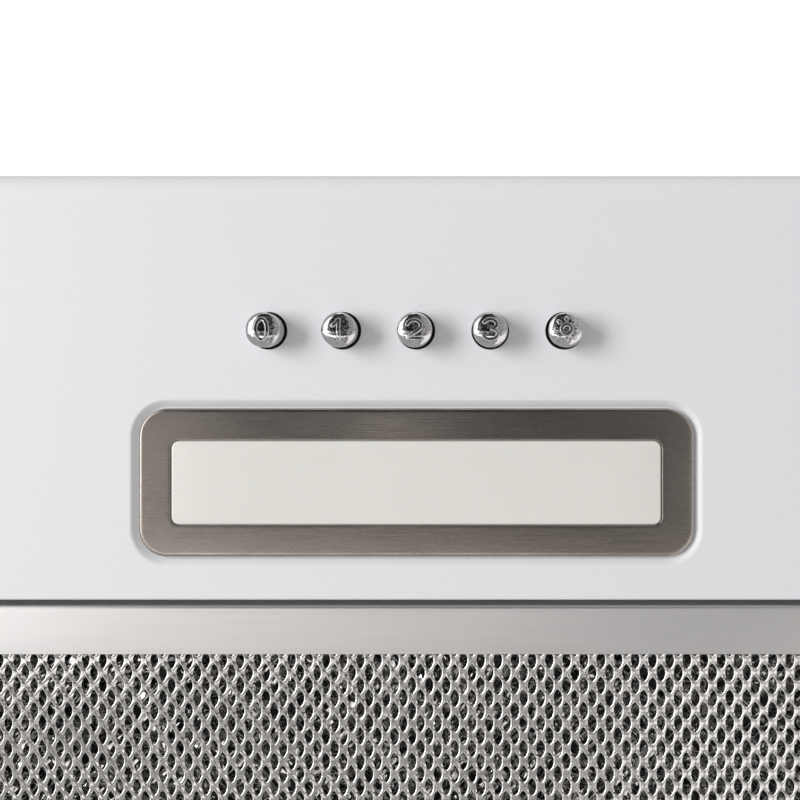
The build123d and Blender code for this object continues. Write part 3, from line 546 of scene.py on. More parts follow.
@dataclass
class Button:
    """One chrome push button: a domed cap and the raised sign on it.

    Attributes:
        name: the last word of its nodes' names.
        sign: what stands on it.
        dome_mm: radius of the crown of its face.
        edge_mm: rounding between face and side.
        sign_mm: side of the square that the sign fills.
        stroke_mm: half the width of the sign's raised strokes.
        flat: how high a stroke stands, as a share of half its width.
        sunk_mm: how far the strokes' middle lies under the face.
        inset_mm: how far the face stays behind the cap's box, which leaves room for the sign.
        guard_mm: how close to the wall's ends the rings lie that keep its shading straight.
    """

    name: str
    sign: Sign
    dome_mm: float = 7.0
    edge_mm: float = 0.55
    sign_mm: float = 6.8
    stroke_mm: float = 0.62
    flat: float = 0.62
    sunk_mm: float = 0.05
    inset_mm: float = 0.35
    guard_mm: float = 0.05

    def __post_init__(self) -> None:
        """Reads where the cap is from the frame."""
        low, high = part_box(f"button_cap_{self.name}")
        self.centre = ((low[0] + high[0]) / 2, (low[1] + high[1]) / 2)
        self.tip, self.top = low[2] + self.inset_mm * MM, high[2]
        self.radius = (high[0] - low[0]) / 2

    def crown(self, radius: Array) -> Array:
        """Height of the domed face: tip + R - sqrt(R^2 - r^2)."""
        dome = self.dome_mm * MM
        return self.tip + dome - np.sqrt(dome**2 - radius**2)

    def profile(self) -> Array:
        """The cap's profile from the middle of its face round to the middle of its top.

        The edge's arc of radius e touches the crown of radius R and the side at r: its centre is r - e out
        and sqrt((R - e)^2 - (r - e)^2) in front of the crown's centre, so they meet at R (r - e) / (R - e).
        """
        dome, edge, radius, guard = self.dome_mm * MM, self.edge_mm * MM, self.radius, self.guard_mm * MM
        out = radius - edge
        lean = math.acos(out / (dome - edge))
        face = np.linspace(POLE, dome * out / (dome - edge), 24)
        bend = np.linspace(-lean, 0, 9)
        middle = self.tip + dome - math.sqrt((dome - edge) ** 2 - out**2)
        rounded = np.stack([out + edge * np.cos(bend), middle + edge * np.sin(bend)], axis=-1)
        wall = [(radius, rounded[-1, 1] + guard), (radius, self.top - guard), (radius, self.top)]
        side = np.array([*wall, (radius - guard, self.top), (POLE, self.top)])
        return np.concatenate([np.stack([face, self.crown(face)], axis=-1), rounded[1:], side])

    def build_cap(self) -> bpy.types.Object:
        """Lathes the cap and closes it at both poles."""
        profile = self.profile()
        corners, quads = lathe(profile, self.centre)
        poles = np.array([(*self.centre, self.tip), (*self.centre, self.top)])
        faces = [quads, *pole_fans(len(profile), LATHE_STEPS)]
        piece = new_mesh(f"button_{self.name}_face", np.concatenate([corners, poles]), faces)
        outward(piece)
        return piece

    def build_sign(self) -> bpy.types.Object:
        """Runs a flattened rod along each stroke, sunk to just over half in the crown."""
        parts, faces, count = [], [], 0
        for stroke in self.sign.strokes():
            corners, quads = self.rod(stroke)
            parts.append(corners)
            faces.append(quads + count)
            count += len(corners)
        piece = new_mesh(f"button_{self.name}_sign", np.concatenate(parts), faces)
        outward(piece)
        return piece

    def rod(self, stroke: Array, sides: int = 12, step: float = 0.02) -> tuple[Array, Array]:
        """A flattened rod along a stroke, pressed onto the crown.

        The stroke is divided evenly, and each point gets an ellipse across its direction. An open
        stroke ends round: three more ellipses of width R cos a, set on by R sin a, close each end.

        Args:
            stroke: centre line in the sign's square.
            sides: points round the rod.
            step: length of a division in the sign's square.

        Returns:
            Corner places and quads.
        """
        lengths = np.concatenate([[0], np.cumsum(np.linalg.norm(np.diff(stroke, axis=0), axis=1))])
        places = np.linspace(0, lengths[-1], max(int(lengths[-1] / step), 3))
        line = np.stack([np.interp(places, lengths, stroke[:, i]) for i in (0, 1)], axis=-1)
        closed = bool(np.linalg.norm(stroke[0] - stroke[-1]) < 1e-6)
        smooth = line.copy()
        smooth[1:-1] = (line[:-2] + 2 * line[1:-1] + line[2:]) / 4
        line = smooth * self.sign_mm * MM * np.array([1, -1]) + np.array(self.centre)
        along = np.gradient(line, axis=0)
        if closed:
            along[0] = along[-1] = line[1] - line[-2]
        along /= np.linalg.norm(along, axis=1, keepdims=True)
        thick = self.stroke_mm * MM
        radii = np.full(len(line), thick)
        if not closed:
            turn = np.radians([85, 60, 30])[:, None]
            start = line[0] - along[0] * thick * np.sin(turn)
            finish = line[-1] + along[-1] * thick * np.sin(turn[::-1])
            line = np.concatenate([start, line, finish])
            caps = thick * np.cos(turn[:, 0])
            radii = np.concatenate([caps, radii, caps[::-1]])
            along = np.concatenate([np.repeat(along[:1], 3, axis=0), along, np.repeat(along[-1:], 3, axis=0)])
        across = np.stack([-along[:, 1], along[:, 0]], axis=-1)
        turn = np.linspace(0, 2 * math.pi, sides, endpoint=False)
        flat = line[:, None, :] + across[:, None, :] * (radii[:, None] * np.cos(turn))[:, :, None]
        reach = np.linalg.norm(line - np.array(self.centre), axis=1)
        sunk = self.crown(reach) + self.sunk_mm * MM
        height = sunk[:, None] + self.flat * radii[:, None] * np.sin(turn)
        corners = np.concatenate([flat, height[:, :, None]], axis=-1).reshape(-1, 3)
        return corners, grid_faces(len(line), sides, wrap=True)

    def build(self) -> None:
        """Builds the cap and its sign on the button's body."""
        body = f"button_{self.name}"
        install(self.build_cap(), body, [CHROME_PLATE], f"button_cap_{self.name}")
        install(self.build_sign(), body, [CHROME_PLATE])


@dataclass
class ReturnSpring:
    """The coil spring that lifts a button: it shortens against the switch while the button goes in.

    The wire's middle follows x = R cos t, y = R sin t, with z rising evenly, and its ends are closed.

    Attributes:
        name: the last word of its nodes' names.
        turns: how many turns it has.
        wire_mm: radius of its wire.
        travel_mm: how far the button goes in; not used.
        turn_steps: steps along each turn.
        sides: points round the wire.
    """

    name: str
    turns: float = 5.0
    wire_mm: float = 0.35
    travel_mm: float = 4.0
    turn_steps: int = 28
    sides: int = 8

    def build(self) -> None:
        """Sweeps the wire and puts it on the button's body."""
        low, high = (np.array(corner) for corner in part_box(f"button_spring_{self.name}"))
        middle, wire = (low + high) / 2, self.wire_mm * MM
        radius = (high[0] - low[0]) / 2 - wire
        share = np.linspace(0, 1, round(self.turns * self.turn_steps) + 1)
        angle = 2 * math.pi * self.turns * share
        out = np.stack([np.cos(angle), np.sin(angle), np.zeros_like(angle)], axis=-1)
        rise = low[2] + wire + (high[2] - low[2] - 2 * wire) * share
        axis = np.stack([np.full_like(rise, middle[0]), np.full_like(rise, middle[1]), rise], axis=-1)
        line = radius * out + axis
        turn = np.linspace(0, 2 * math.pi, self.sides, endpoint=False)
        up = np.array([0.0, 0.0, 1.0])
        rings = line[:, None, :] + wire * (
            np.cos(turn)[None, :, None] * out[:, None, :] + np.sin(turn)[None, :, None] * up
        )
        corners = np.concatenate([rings.reshape(-1, 3), line[:1], line[-1:]])
        faces = [grid_faces(len(rings), self.sides, wrap=True), *pole_fans(len(rings), self.sides)]
        piece = new_mesh(f"spring_{self.name}", corners, faces)
        outward(piece)
        install(piece, f"button_{self.name}", [ZINC_PLATE], f"button_spring_{self.name}")
        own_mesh(piece)


# ---- lamp ----


@dataclass
class Lamp:
    """The strip lamp's brushed bezel and opal window.

    Attributes:
        corner_mm: radius of the bezel's corners.
        edge_mm: rounding of its outer edge.
        sheet_mm: thickness of the bezel's sheet.
        border_mm: width of the steel border.
        window_corner_mm: radius of the window's corners.
        lip_mm: rounding of the border's edge at the window.
        gap_mm: gap between the border and the window.
        soft_mm: rounding of the window's own edge.
        flange_mm: how far the window's flange reaches behind the border.
        fold_mm: how far the border's sheet goes on behind the window's edge.
    """

    corner_mm: float = 7.6
    edge_mm: float = 0.9
    sheet_mm: float = 0.8
    border_mm: float = 8.55
    window_corner_mm: float = 2.3
    lip_mm: float = 0.25
    gap_mm: float = 0.25
    soft_mm: float = 0.5
    flange_mm: float = 2.6
    fold_mm: float = 0.5

    def __post_init__(self) -> None:
        """Reads where the bezel is from the frame."""
        self.low, self.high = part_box("lamp_bezel")
        self.size = (self.high[0] - self.low[0], self.high[1] - self.low[1])
        self.middle = np.array([(self.low[0] + self.high[0]) / 2, (self.low[1] + self.high[1]) / 2])

    def ring(self, inset: float, corner: float, height: float, base: float = 0.0) -> Array:
        """One closed outline of the bezel, set in from its outer edge by base plus inset."""
        reach = 2 * (base + inset)
        flat = rounded_outline(self.size[0] - reach, self.size[1] - reach, max(corner - inset, 1e-5))
        return np.concatenate([flat + self.middle, np.full((len(flat), 1), height)], axis=1)

    def build_bezel(self) -> bpy.types.Object:
        """Carries the bezel's section round: outer wall, rounded edge, flat border, window edge, inside."""
        edge, lip, sheet = self.edge_mm * MM, self.lip_mm * MM, self.sheet_mm * MM
        corner, border, window = self.corner_mm * MM, self.border_mm * MM, self.window_corner_mm * MM
        face, seat = self.low[2], self.high[2]
        rings = [self.ring(0, corner, seat)]
        rings += [
            self.ring(edge - edge * across, corner, face + edge + edge * rise)
            for across, rise in quarter(0, -90, 8)
        ]
        outer, inner = rings[-1], self.ring(-lip, window, face, border)
        rings += [outer * (1 - t) + inner * t for t in np.linspace(0.06, 0.94, 7)]
        rings += [inner]
        rings += [
            self.ring(-lip - lip * rise, window, face + lip - lip * across, border)
            for across, rise in quarter(0, -90, 4)[1:]
        ]
        rings += [self.ring(fold, window, face + sheet, border) for fold in (0, -self.fold_mm * MM)]
        rings += [self.ring(sheet, corner, height) for height in (face + sheet, seat)]
        faces = [grid_faces(len(rings), len(outer), wrap=True)]
        piece = new_mesh("bezel_sheet", np.concatenate(rings), faces)
        outward(piece)
        return piece

    def build_window(self) -> bpy.types.Object:
        """The opal window: a flat face with a softly rounded edge, and the flange behind the bezel."""
        low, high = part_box("lamp_diffuser")
        gap, soft, flange = self.gap_mm * MM, self.soft_mm * MM, -self.flange_mm * MM
        window, border = self.window_corner_mm * MM, self.border_mm * MM
        step = self.low[2] + self.sheet_mm * MM
        rounded = [
            self.ring(gap + soft + soft * rise, window, low[2] + soft - soft * across, border)
            for across, rise in quarter(0, -90, 6)
        ]
        front, rear = np.array([*self.middle, low[2]]), np.array([*self.middle, high[2]])
        face = [rounded[0] * share + front * (1 - share) for share in (0.02, 0.3, 0.6, 0.85)]
        wall = [self.ring(gap, window, step, border), self.ring(flange, window, step, border)]
        back = self.ring(flange, window, high[2], border)
        closing = [back * share + rear * (1 - share) for share in (0.5, 0.02)]
        rings = [*face, *rounded, *wall, back, *closing]
        faces = [grid_faces(len(rings), len(back), wrap=True), *pole_fans(len(rings), len(back))]
        piece = new_mesh("opal_window", np.concatenate([*rings, [front], [rear]]), faces)
        outward(piece)
        return piece

    def build(self) -> None:
        """Builds both pieces on the housing."""
        install(self.build_bezel(), "housing", [BRUSHED_STAINLESS], "lamp_bezel")
        install(self.build_window(), "housing", [OPAL_ACRYLIC], "lamp_diffuser")


# ---- grease filter ----
WAVES_MM = (9.1, 7.3, 5.7)  # lengths of a net's waves along X, along Y and across, over 2 pi


@dataclass(frozen=True)
class ExpandedNet:
    """A sheet of expanded foil: rows of pointed openings, each row set half a step from the last.

    Each opening is the outline x = b cos(s) |cos(s)|^(p-1), y = a sin(s). Its strands reach from
    there to the rhombus x = (pitch/2) cos^2(s), y = row sin^2(s) that it shares with its
    neighbours, and they twist: the right-hand edge of an opening stands out and the left-hand
    edge lies back.

    Attributes:
        pitch_mm: distance between openings in a row.
        row_mm: distance between rows.
        tall_mm: half the height of an opening.
        wide_mm: half its width.
        twist_mm: how far the edges of a strand stand out.
        sheet_mm: thickness of the foil.
        shear_mm: how far the knife leans its cut edge over to the left.
        steps: points round an opening.
        rough_mm: how far the nodes wander.
        wave_mm: height of the waves across the sheet.
        turned: whether the openings' long side runs along X.
        point: exponent p of the outline, higher for sharper ends.
    """

    pitch_mm: float = 4.67
    row_mm: float = 3.44
    tall_mm: float = 2.5
    wide_mm: float = 1.32
    twist_mm: float = 0.36
    sheet_mm: float = 0.12
    shear_mm: float = 0.24
    steps: int = 14
    rough_mm: float = 0.02
    wave_mm: float = 0.0
    turned: bool = False
    point: float = 1.5

    def cell(self) -> tuple[Array, Array, Array]:
        """One opening in millimetres: its outline, the rhombus round it, and the outline's lift.

        The lift is twist |cos(s)|^0.6 (0.2 + 0.8 |sin(2s)|), outwards on the right of the opening.
        """
        s = (np.arange(self.steps) + 0.5) * 2 * math.pi / self.steps
        c, n = np.cos(s), np.sin(s)
        inner = np.stack([self.wide_mm * np.sign(c) * np.abs(c) ** self.point, self.tall_mm * n], axis=-1)
        outer = np.stack([self.pitch_mm / 2 * np.sign(c) * c**2, self.row_mm * np.sign(n) * n**2], axis=-1)
        lift = -self.twist_mm * np.sign(c) * np.abs(c) ** 0.6 * (0.2 + 0.8 * np.abs(np.sin(2 * s)))
        return inner, outer, lift

    def waves(self, x: Array, y: Array, seed: int) -> Array:
        """Height of the sheet's waves: the sum of a sine along X, one along Y and one across.

        Args:
            x: places along X in millimetres.
            y: places along Y in millimetres.
            seed: what shifts the waves.

        Returns:
            Heights in millimetres.
        """
        along, down, across = WAVES_MM
        sines = np.sin(x / along + seed) + np.sin(y / down + 2 * seed) + np.sin((x + y) / across)
        return self.wave_mm * sines

    def lattice(self, size: Array, seed: int, share: tuple[float, float]) -> tuple[Array, Array]:
        """Sets out the openings in rows, every other row half a pitch along.

        Args:
            size: width and depth of the rectangle in millimetres.
            seed: seed of the openings' irregularity.
            share: first and last part of the columns that are kept.

        Returns:
            The openings' centres, and three random amounts for each.
        """
        columns, rows = int(size[0] // self.pitch_mm) - 1, int(size[1] // self.row_mm) - 1
        row, column = np.meshgrid(np.arange(rows), np.arange(columns), indexing="ij")
        x = (column - (columns - 1) / 2 + 0.5 * (row % 2) - 0.25) * self.pitch_mm
        y = (row - (rows - 1) / 2) * self.row_mm
        wander = self.rough_mm * np.random.default_rng(seed).standard_normal((rows, columns, 3))
        kept = slice(round(share[0] * columns), round(share[1] * columns))
        return np.stack([x, y], axis=-1)[:, kept].reshape(-1, 1, 2), wander[:, kept].reshape(-1, 1, 3)

    def build(
        self,
        name: str,
        low: Array,
        high: Array,
        height: float,
        seed: int,
        share: tuple[float, float] = (0.0, 1.0),
    ) -> bpy.types.Object:
        """Fills a rectangle with whole openings.

        Args:
            name: the piece's name.
            low: lowest X and Y in metres.
            high: highest X and Y in metres.
            height: the sheet's middle height in metres.
            seed: seed of its irregularity.
            share: which part of the columns this piece holds, from 0 on the left to 1.

        Returns:
            The net, as one mesh with thickness.
        """
        size = (high - low) / MM
        if self.turned:
            size = size[::-1]
        centres, wander = self.lattice(size, seed, share)
        inner, outer, lift = self.cell()
        count = len(centres)
        rim = centres + inner * (1 + wander[:, :, :1]) + wander[:, :, 1:]
        edge = np.broadcast_to(centres + outer, rim.shape)
        rim_z = lift * (1 + wander[:, :, 0]) + wander[:, :, 1]
        edge_z = np.zeros(edge.shape[:2])
        layers = [
            np.concatenate([flat, z[:, :, None]], axis=-1)
            for flat, z in (
                (edge, edge_z),
                (rim, rim_z),
                (rim - [self.shear_mm, 0.0], rim_z + self.sheet_mm),
                (edge - [self.shear_mm, 0.0], edge_z + self.sheet_mm),
            )
        ]
        corners = np.stack(layers, axis=1).reshape(-1, 3)
        if self.turned:
            corners = corners[:, [1, 0, 2]]
        corners[:, 2] += self.waves(corners[:, 0], corners[:, 1], seed)
        corners = corners * MM + np.array([*(low + high) / 2, height])
        cell = grid_faces(4, self.steps, wrap=True)
        faces = (cell[None, :, :] + (np.arange(count) * 4 * self.steps)[:, None, None]).reshape(-1, 4)
        if self.turned:
            faces = faces[:, ::-1]
        net = new_mesh(name, corners, [faces], smooth=False)
        cut = np.zeros((count, 3, self.steps), dtype=np.int32)
        cut[:, 1] = 1
        net.data.polygons.foreach_set("material_index", cut.ravel())
        return net


FACE_NET = ExpandedNet()
CORE_LOWER = ExpandedNet(
    pitch_mm=5.1,
    row_mm=3.0,
    tall_mm=2.75,
    wide_mm=2.1,
    twist_mm=0.75,
    sheet_mm=0.2,
    shear_mm=0.1,
    steps=8,
    rough_mm=0.22,
    wave_mm=0.25,
    turned=True,
)
CORE_MIDDLE = replace(
    CORE_LOWER,
    pitch_mm=4.9,
    row_mm=3.3,
    tall_mm=2.9,
    wide_mm=2.05,
    twist_mm=0.8,
    rough_mm=0.24,
    wave_mm=0.30,
    turned=False,
)
CORE_UPPER = replace(
    CORE_LOWER, pitch_mm=6.3, row_mm=3.9, tall_mm=3.2, wide_mm=2.5, twist_mm=0.8, wave_mm=0.30
)
BACK_NET = replace(
    CORE_LOWER,
    pitch_mm=7.0,
    row_mm=4.3,
    tall_mm=3.2,
    wide_mm=2.4,
    twist_mm=0.4,
    sheet_mm=0.25,
    rough_mm=0.05,
    wave_mm=0.0,
    turned=False,
)


@dataclass(frozen=True)
class Layer:
    """One layer of foil in the filter, or a part of it.

    Attributes:
        name: the piece's name.
        net: its openings.
        depth_mm: how far it lies behind the frame's face, or, below zero, inside the frame's back.
        seed: seed of its irregularity.
        stands_for: the solid that it takes the place of, if there is one.
        foil: the finish of its strands.
        share: which part of the columns it holds, from 0 on the left to 1.
    """

    name: str
    net: ExpandedNet
    depth_mm: float
    seed: int
    stands_for: str = ""
    foil: Finish = SHADED_INNER_FOIL
    share: tuple[float, float] = (0.0, 1.0)


LAYERS = (
    Layer("foil_face_left", FACE_NET, 1.2, 1, "filter_face_mesh", BRIGHT_FOIL, (0.0, 0.5)),
    Layer("foil_face_right", FACE_NET, 1.2, 1, "", BRIGHT_FOIL, (0.5, 1.0)),
    Layer("foil_core_lower", CORE_LOWER, 3.1, 3, "filter_core_mesh"),
    Layer("foil_core_middle", CORE_MIDDLE, 4.6, 4),
    Layer("foil_core_upper", CORE_UPPER, 6.1, 6),
    Layer("foil_back", BACK_NET, -1.0, 5, "filter_back_mesh"),
)


@dataclass
class GreaseFilter:
    """The filter's foil layers: a regular face layer in two halves, crossed core layers and a back layer.

    Attributes:
        rim_mm: width of the frame that hides the nets' edges.
        tuck_mm: how far the nets reach under it.
    """

    rim_mm: float = 13.1
    tuck_mm: float = 5.0

    def __post_init__(self) -> None:
        """Reads the frame's box."""
        low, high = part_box("filter_frame")
        inset = (self.rim_mm - self.tuck_mm) * MM
        self.low = np.array([low[0] + inset, low[1] + inset])
        self.high = np.array([high[0] - inset, high[1] - inset])
        self.face_z, self.back_z = low[2], high[2]

    def build(self) -> None:
        """Builds every layer on the filter's body."""
        for layer in LAYERS:
            start = self.face_z if layer.depth_mm > 0 else self.back_z
            level = start + layer.depth_mm * MM
            net = layer.net.build(layer.name, self.low, self.high, level, layer.seed, layer.share)
            install(net, "filter", [layer.foil, CUT_FOIL], layer.stands_for)


# ---- stage, light and camera ----
PATCH_EDGE = (0.52, 0.60)  # the noise's values between a dark patch and a bright one


@dataclass(frozen=True)
class Card:
    """A glowing card under the hood that only reflections see: a painted reflection, no lamp, whose stops and
    patches paint the shading, streaks and glints that the metal above it mirrors.

    Attributes:
        name: its name.
        reach: lowest and highest X, then lowest and highest Y, in metres.
        stops: pairs of X in metres and strength, from left to right.
        tint: colour of its glow, sRGB hex.
        patch_mm: size of its brighter and darker patches.
        patches: what the darkest and the brightest patches multiply the strength by.
    """

    name: str
    reach: tuple[float, float, float, float]
    stops: tuple[tuple[float, float], ...]
    tint: str = "FFF9F4"
    patch_mm: float = 100.0
    patches: tuple[float, float] = (1.0, 1.0)

    def material(self) -> bpy.types.Material:
        """A glow whose strength follows the stops along X, in straight lines between them."""
        material = blank_material(self.name)
        tree = material.node_tree
        place = add_node(tree, "ShaderNodeTexCoord").outputs["Object"]
        across = add_node(tree, "ShaderNodeSeparateXYZ", inputs={"Vector": place}).outputs["X"]
        first, last = self.stops[0][0], self.stops[-1][0]
        share = add_node(
            tree, "ShaderNodeMapRange", inputs={"Value": across, "From Min": first, "From Max": last}
        ).outputs["Result"]
        ramp = add_node(tree, "ShaderNodeValToRGB", inputs={"Fac": share})
        elements = ramp.color_ramp.elements
        elements.remove(elements[1])
        for number, (x, strength) in enumerate(self.stops):
            stop = (x - first) / (last - first)
            element = elements[0] if number == 0 else elements.new(stop)
            element.position = stop
            element.color = (strength, strength, strength, 1.0)
        tinted = add_node(
            tree,
            "ShaderNodeMix",
            {"data_type": "RGBA", "blend_type": "MULTIPLY"},
            {"Factor": 1.0, "A": ramp.outputs["Color"], "B": linear(self.tint)},
        )
        colour = next(o for o in tinted.outputs if o.type == "RGBA")
        noise = add_node(
            tree,
            "ShaderNodeTexNoise",
            inputs={"Vector": place, "Scale": 1.0 / (self.patch_mm * MM), "Detail": 1.0},
        ).outputs["Fac"]
        dark, light = self.patches
        patch = add_node(
            tree,
            "ShaderNodeMapRange",
            inputs={
                "Value": noise,
                "From Min": PATCH_EDGE[0],
                "From Max": PATCH_EDGE[1],
                "To Min": dark,
                "To Max": light,
            },
        ).outputs["Result"]
        glow = add_node(tree, "ShaderNodeEmission", inputs={"Color": colour, "Strength": patch})
        add_node(tree, "ShaderNodeOutputMaterial", inputs={"Surface": glow.outputs["Emission"]})
        return material

    def build(self, level: float) -> None:
        """Lays the card flat at a height."""
        x0, x1, y0, y1 = self.reach
        corners = np.array([(x0, y0, level), (x1, y0, level), (x1, y1, level), (x0, y1, level)])
        card = new_mesh(self.name, corners, [np.array([[0, 1, 2, 3]])], smooth=False)
        dress(card, self.material())
        # Seen only in reflections: a painted reflection that lights nothing and casts no shadow.
        card.visible_camera = card.visible_diffuse = card.visible_shadow = card.visible_transmission = False


# From the front to the rear: painted reflections for what the caps, the lamp's border, the filter's frame and
# its foil reflect. Their strengths and patches paint the caps' dark faces, the border's streaks, the frame's
# shading from left to right and the foil's glints.
PAINTED_REFLECTION_CARDS = (
    Card(
        "card_caps",
        (-0.40, 0.20, -1.20, -0.080),
        ((-0.40, 0.04), (0.08, 0.05), (0.15, 0.10), (0.20, 0.22)),
        patch_mm=50.0,
        patches=(0.4, 3.0),
    ),
    Card("card_window", (-1.60, -0.40, -0.80, 0.12), ((-1.60, 1.6), (-0.40, 1.6))),
    Card(
        "card_side_front",
        (0.20, 1.20, -1.20, -0.080),
        ((0.20, 0.36), (1.20, 0.55)),
        patch_mm=60.0,
        patches=(1.3, 0.6),
    ),
    Card("card_front", (-0.40, 1.20, -4.00, -1.20), ((-0.40, 1.3), (1.20, 1.1))),
    Card(
        "card_bezel_front",
        (-0.34, 0.34, -0.080, -0.035),
        ((-0.34, 1.10), (-0.17, 0.42), (-0.13, 0.20), (-0.06, 0.19), (-0.030, 0.70), (-0.005, 0.18))
        + ((0.08, 0.09), (0.11, 0.08), (0.14, 0.32), (0.34, 0.34)),
        "FFFBF8",
        patch_mm=22.0,
        patches=(0.5, 2.4),
    ),
    Card(
        "card_bezel_rear",
        (-0.34, 0.34, -0.035, 0.024),
        ((-0.34, 1.00), (-0.17, 0.34), (-0.10, 0.13), (0.02, 0.12), (0.08, 0.05), (0.11, 0.05))
        + ((0.14, 0.26), (0.34, 0.32)),
        "FFFBF8",
        patch_mm=22.0,
        patches=(0.5, 2.4),
    ),
    Card("card_side_middle", (0.34, 1.20, -0.080, 0.064), ((0.34, 0.55), (1.20, 1.10))),
    Card(
        "card_rim",
        (-0.40, 0.34, 0.024, 0.064),
        ((-0.40, 2.5), (-0.24, 2.45), (0.0, 1.64), (0.20, 0.50), (0.34, 0.26)),
    ),
    Card(
        "card_net",
        (-0.26, 0.22, 0.064, 0.34),
        ((-0.26, 0.22), (0.22, 0.20)),
        patch_mm=16.0,
        patches=(0.3, 6.5),
    ),
    Card("card_side_rear", (0.22, 1.20, 0.064, 0.60), ((0.22, 1.20), (1.20, 1.40))),
)


@dataclass
class Studio:
    """The floor, the lamps, the glowing cards that paint the metal's reflections, and the camera.

    Attributes:
        floor_z: height of the floor in metres.
        card_z: height of the cards in metres.
        fill: strength of the even light from all round.
        key: power of the softbox in watts.
        key_size: its width and height in metres.
        key_place: where it stands, in metres.
        key_aim: the point that it faces, in metres.
        floor_reach: how far the floor goes from the middle, in metres.
        scale_mm: millimetres per pixel of the photograph on the hood's face.
        focal_px: focal length in pixels of an 800 pixel picture.
        optical_axis_px: where the photograph looks straight up.
        lamp_px: where the photograph shows the middle of the lamp.
        picture_px: width of the photograph.
        sensor_mm: width of the camera's sensor.
    """

    floor_z: float = -0.62
    card_z: float = -0.27
    fill: float = 0.455
    key: float = 40.5
    key_size: tuple[float, float] = (1.5, 0.95)
    key_place: tuple[float, float, float] = (-1.75, -0.45, -1.30)
    key_aim: tuple[float, float, float] = (0.0, -0.07, 0.0)
    floor_reach: float = 12.0
    scale_mm: float = 0.2705
    focal_px: float = 887.0
    optical_axis_px: tuple[float, float] = (486.0, 372.0)
    lamp_px: tuple[float, float] = (416.3, 482.7)
    picture_px: int = 800
    sensor_mm: float = 36.0

    def build_floor(self) -> None:
        """A wide pale floor that shows the object's shadow and lets the low softbox shine past it."""
        reach = self.floor_reach
        corners = [(-reach, -reach), (reach, -reach), (reach, reach), (-reach, reach)]
        corners = np.array([(x, y, self.floor_z) for x, y in corners])
        floor = new_mesh("studio_floor", corners, [np.array([[0, 1, 2, 3]])], smooth=False)
        material = bpy.data.materials.new("pale_floor")
        material.use_nodes = True
        shader = material.node_tree.nodes["Principled BSDF"]
        shader.inputs["Base Color"].default_value = linear("E6E6E6")
        shader.inputs["Roughness"].default_value = 0.8
        dress(floor, material)
        floor.visible_diffuse = floor.visible_glossy = floor.visible_shadow = False

    def build_world(self) -> None:
        """White to the camera, and a plain pale grey that lights and is reflected."""
        world = bpy.data.worlds.new("studio")
        bpy.context.scene.world = world
        world.use_nodes = True
        tree = world.node_tree
        tree.nodes.clear()
        path = add_node(tree, "ShaderNodeLightPath")
        seen = add_node(
            tree,
            "ShaderNodeMath",
            {"operation": "MAXIMUM"},
            {0: path.outputs["Is Camera Ray"], 1: path.outputs["Is Transmission Ray"]},
        )
        strength = add_node(
            tree,
            "ShaderNodeMix",
            {"data_type": "FLOAT"},
            {"Factor": seen.outputs["Value"], "A": self.fill, "B": 1.0},
        )
        light = add_node(
            tree,
            "ShaderNodeBackground",
            inputs={"Color": (1.0, 1.0, 1.0, 1.0), "Strength": strength.outputs["Result"]},
        )
        add_node(tree, "ShaderNodeOutputWorld", inputs={"Surface": light.outputs["Background"]})

    def build_key(self) -> None:
        """A large softbox low on the left, which throws the buttons' shadows to the right."""
        lamp = bpy.data.lights.new("left_softbox", "AREA")
        lamp.shape = "RECTANGLE"
        lamp.size, lamp.size_y = self.key_size
        lamp.energy = self.key
        holder = add_object("left_softbox", lamp)
        holder.location = self.key_place
        way = Vector(self.key_aim) - Vector(self.key_place)
        holder.rotation_euler = way.to_track_quat("-Z", "Y").to_euler()

    def build_camera(self) -> None:
        """A camera that looks straight up at the hood's face, as the photograph does."""
        data = bpy.data.cameras.new("photo_camera")
        data.sensor_width = self.sensor_mm
        data.lens = self.focal_px / self.picture_px * self.sensor_mm
        middle = self.picture_px / 2
        data.shift_x = (middle - self.optical_axis_px[0]) / self.picture_px
        data.shift_y = (self.optical_axis_px[1] - middle) / self.picture_px
        data.clip_start, data.clip_end = 0.01, 50.0
        low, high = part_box("lamp_bezel")
        face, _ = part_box("underside_panel")
        holder = add_object("photo_camera", data)
        scale = self.scale_mm * MM
        holder.location = (
            (low[0] + high[0]) / 2 + (self.optical_axis_px[0] - self.lamp_px[0]) * scale,
            (low[1] + high[1]) / 2 + (self.optical_axis_px[1] - self.lamp_px[1]) * scale,
            face[2] - self.focal_px * scale,
        )
        holder.rotation_euler = (math.pi, 0.0, 0.0)
        bpy.context.scene.camera = holder

    def build(self) -> None:
        """Builds the whole stage."""
        self.build_floor()
        self.build_world()
        self.build_key()
        # Painted reflections: glowing cards that only the metal's reflections see.
        for card in PAINTED_REFLECTION_CARDS:
            card.build(self.card_z)
        self.build_camera()
        bpy.context.scene.view_settings.view_transform = "Standard"
        LOG.info("stage: floor, softbox, %d cards and camera", len(PAINTED_REFLECTION_CARDS))


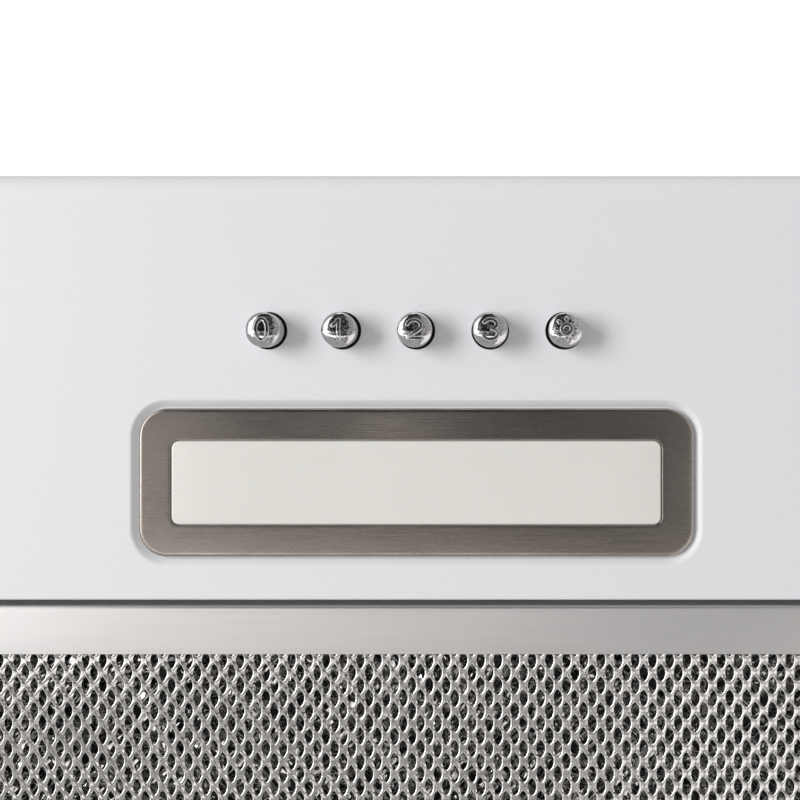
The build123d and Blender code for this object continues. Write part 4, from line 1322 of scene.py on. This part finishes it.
# ---- the whole hood ----
SOLID_FINISHES: dict[Finish, tuple[str, ...]] = {
    POWDER_COAT: ("underside_panel",),
    GALVANISED: (
        "casing_shell",
        "end_plates",
        "switch_bracket",
        "motor_bracket",
        "inlet_rings",
        "motor_drive_bell",
        "motor_outer_bell",
        "collar_plate",
    ),
    ZINC_PLATE: (
        "side_clips",
        "casing_screws",
        "impeller_nut",
        "damper_pin",
        "motor_shaft",
        "motor_bearings",
        *(f"button_spring_{sign.value}" for sign in Sign),
    ),
    LAMINATIONS: ("motor_stator", "motor_rotor"),
    COPPER_WIRE: ("motor_windings",),
    GREY_MOULDING: (
        "scroll_left",
        "scroll_right",
        "damper_flap_front",
        "damper_flap_rear",
        "control_box",
        "control_box_lid",
    ),
    BLACK_MOULDING: (
        "impeller_disc",
        "impeller_cages",
        "duct_collar",
        "fixing_bushes",
        "cable_gland",
        "switch_body",
        "latch_slide",
        *(f"button_stem_{sign.value}" for sign in Sign),
    ),
    WHITE_MOULDING: ("run_capacitor", "lamp_housing", "terminal_block"),
    BRASS: ("switch_terminals",),
    CHROME_PLATE: tuple(f"button_cap_{sign.value}" for sign in Sign),
    BRUSHED_STAINLESS: ("lamp_bezel",),
    OPAL_ACRYLIC: ("lamp_diffuser",),
    SOLDER_MASK: ("lamp_board",),
    SATIN_ALUMINIUM: ("filter_frame", "filter_hooks", "latch_plate"),
    BRIGHT_FOIL: ("filter_face_mesh", "filter_core_mesh", "filter_back_mesh"),
    PVC_SHEATH: ("wiring_leads",),
}


def dress_solids() -> None:
    """Gives every CAD node its finish."""
    for finish, nodes in SOLID_FINISHES.items():
        for node in nodes:
            dress(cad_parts[node], finish.build())
    LOG.info("finishes: %d on the solids", len(SOLID_FINISHES))


def main() -> None:
    """Dresses the solids, builds the finer pieces, and sets the stage."""
    logging.basicConfig(level=logging.INFO, format="%(name)s: %(message)s")
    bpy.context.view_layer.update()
    Studio().build()
    dress_solids()
    for sign in Sign:
        Button(sign.value, sign).build()
        ReturnSpring(sign.value).build()
    Lamp().build()
    GreaseFilter().build()


if __name__ == "__main__":
    main()
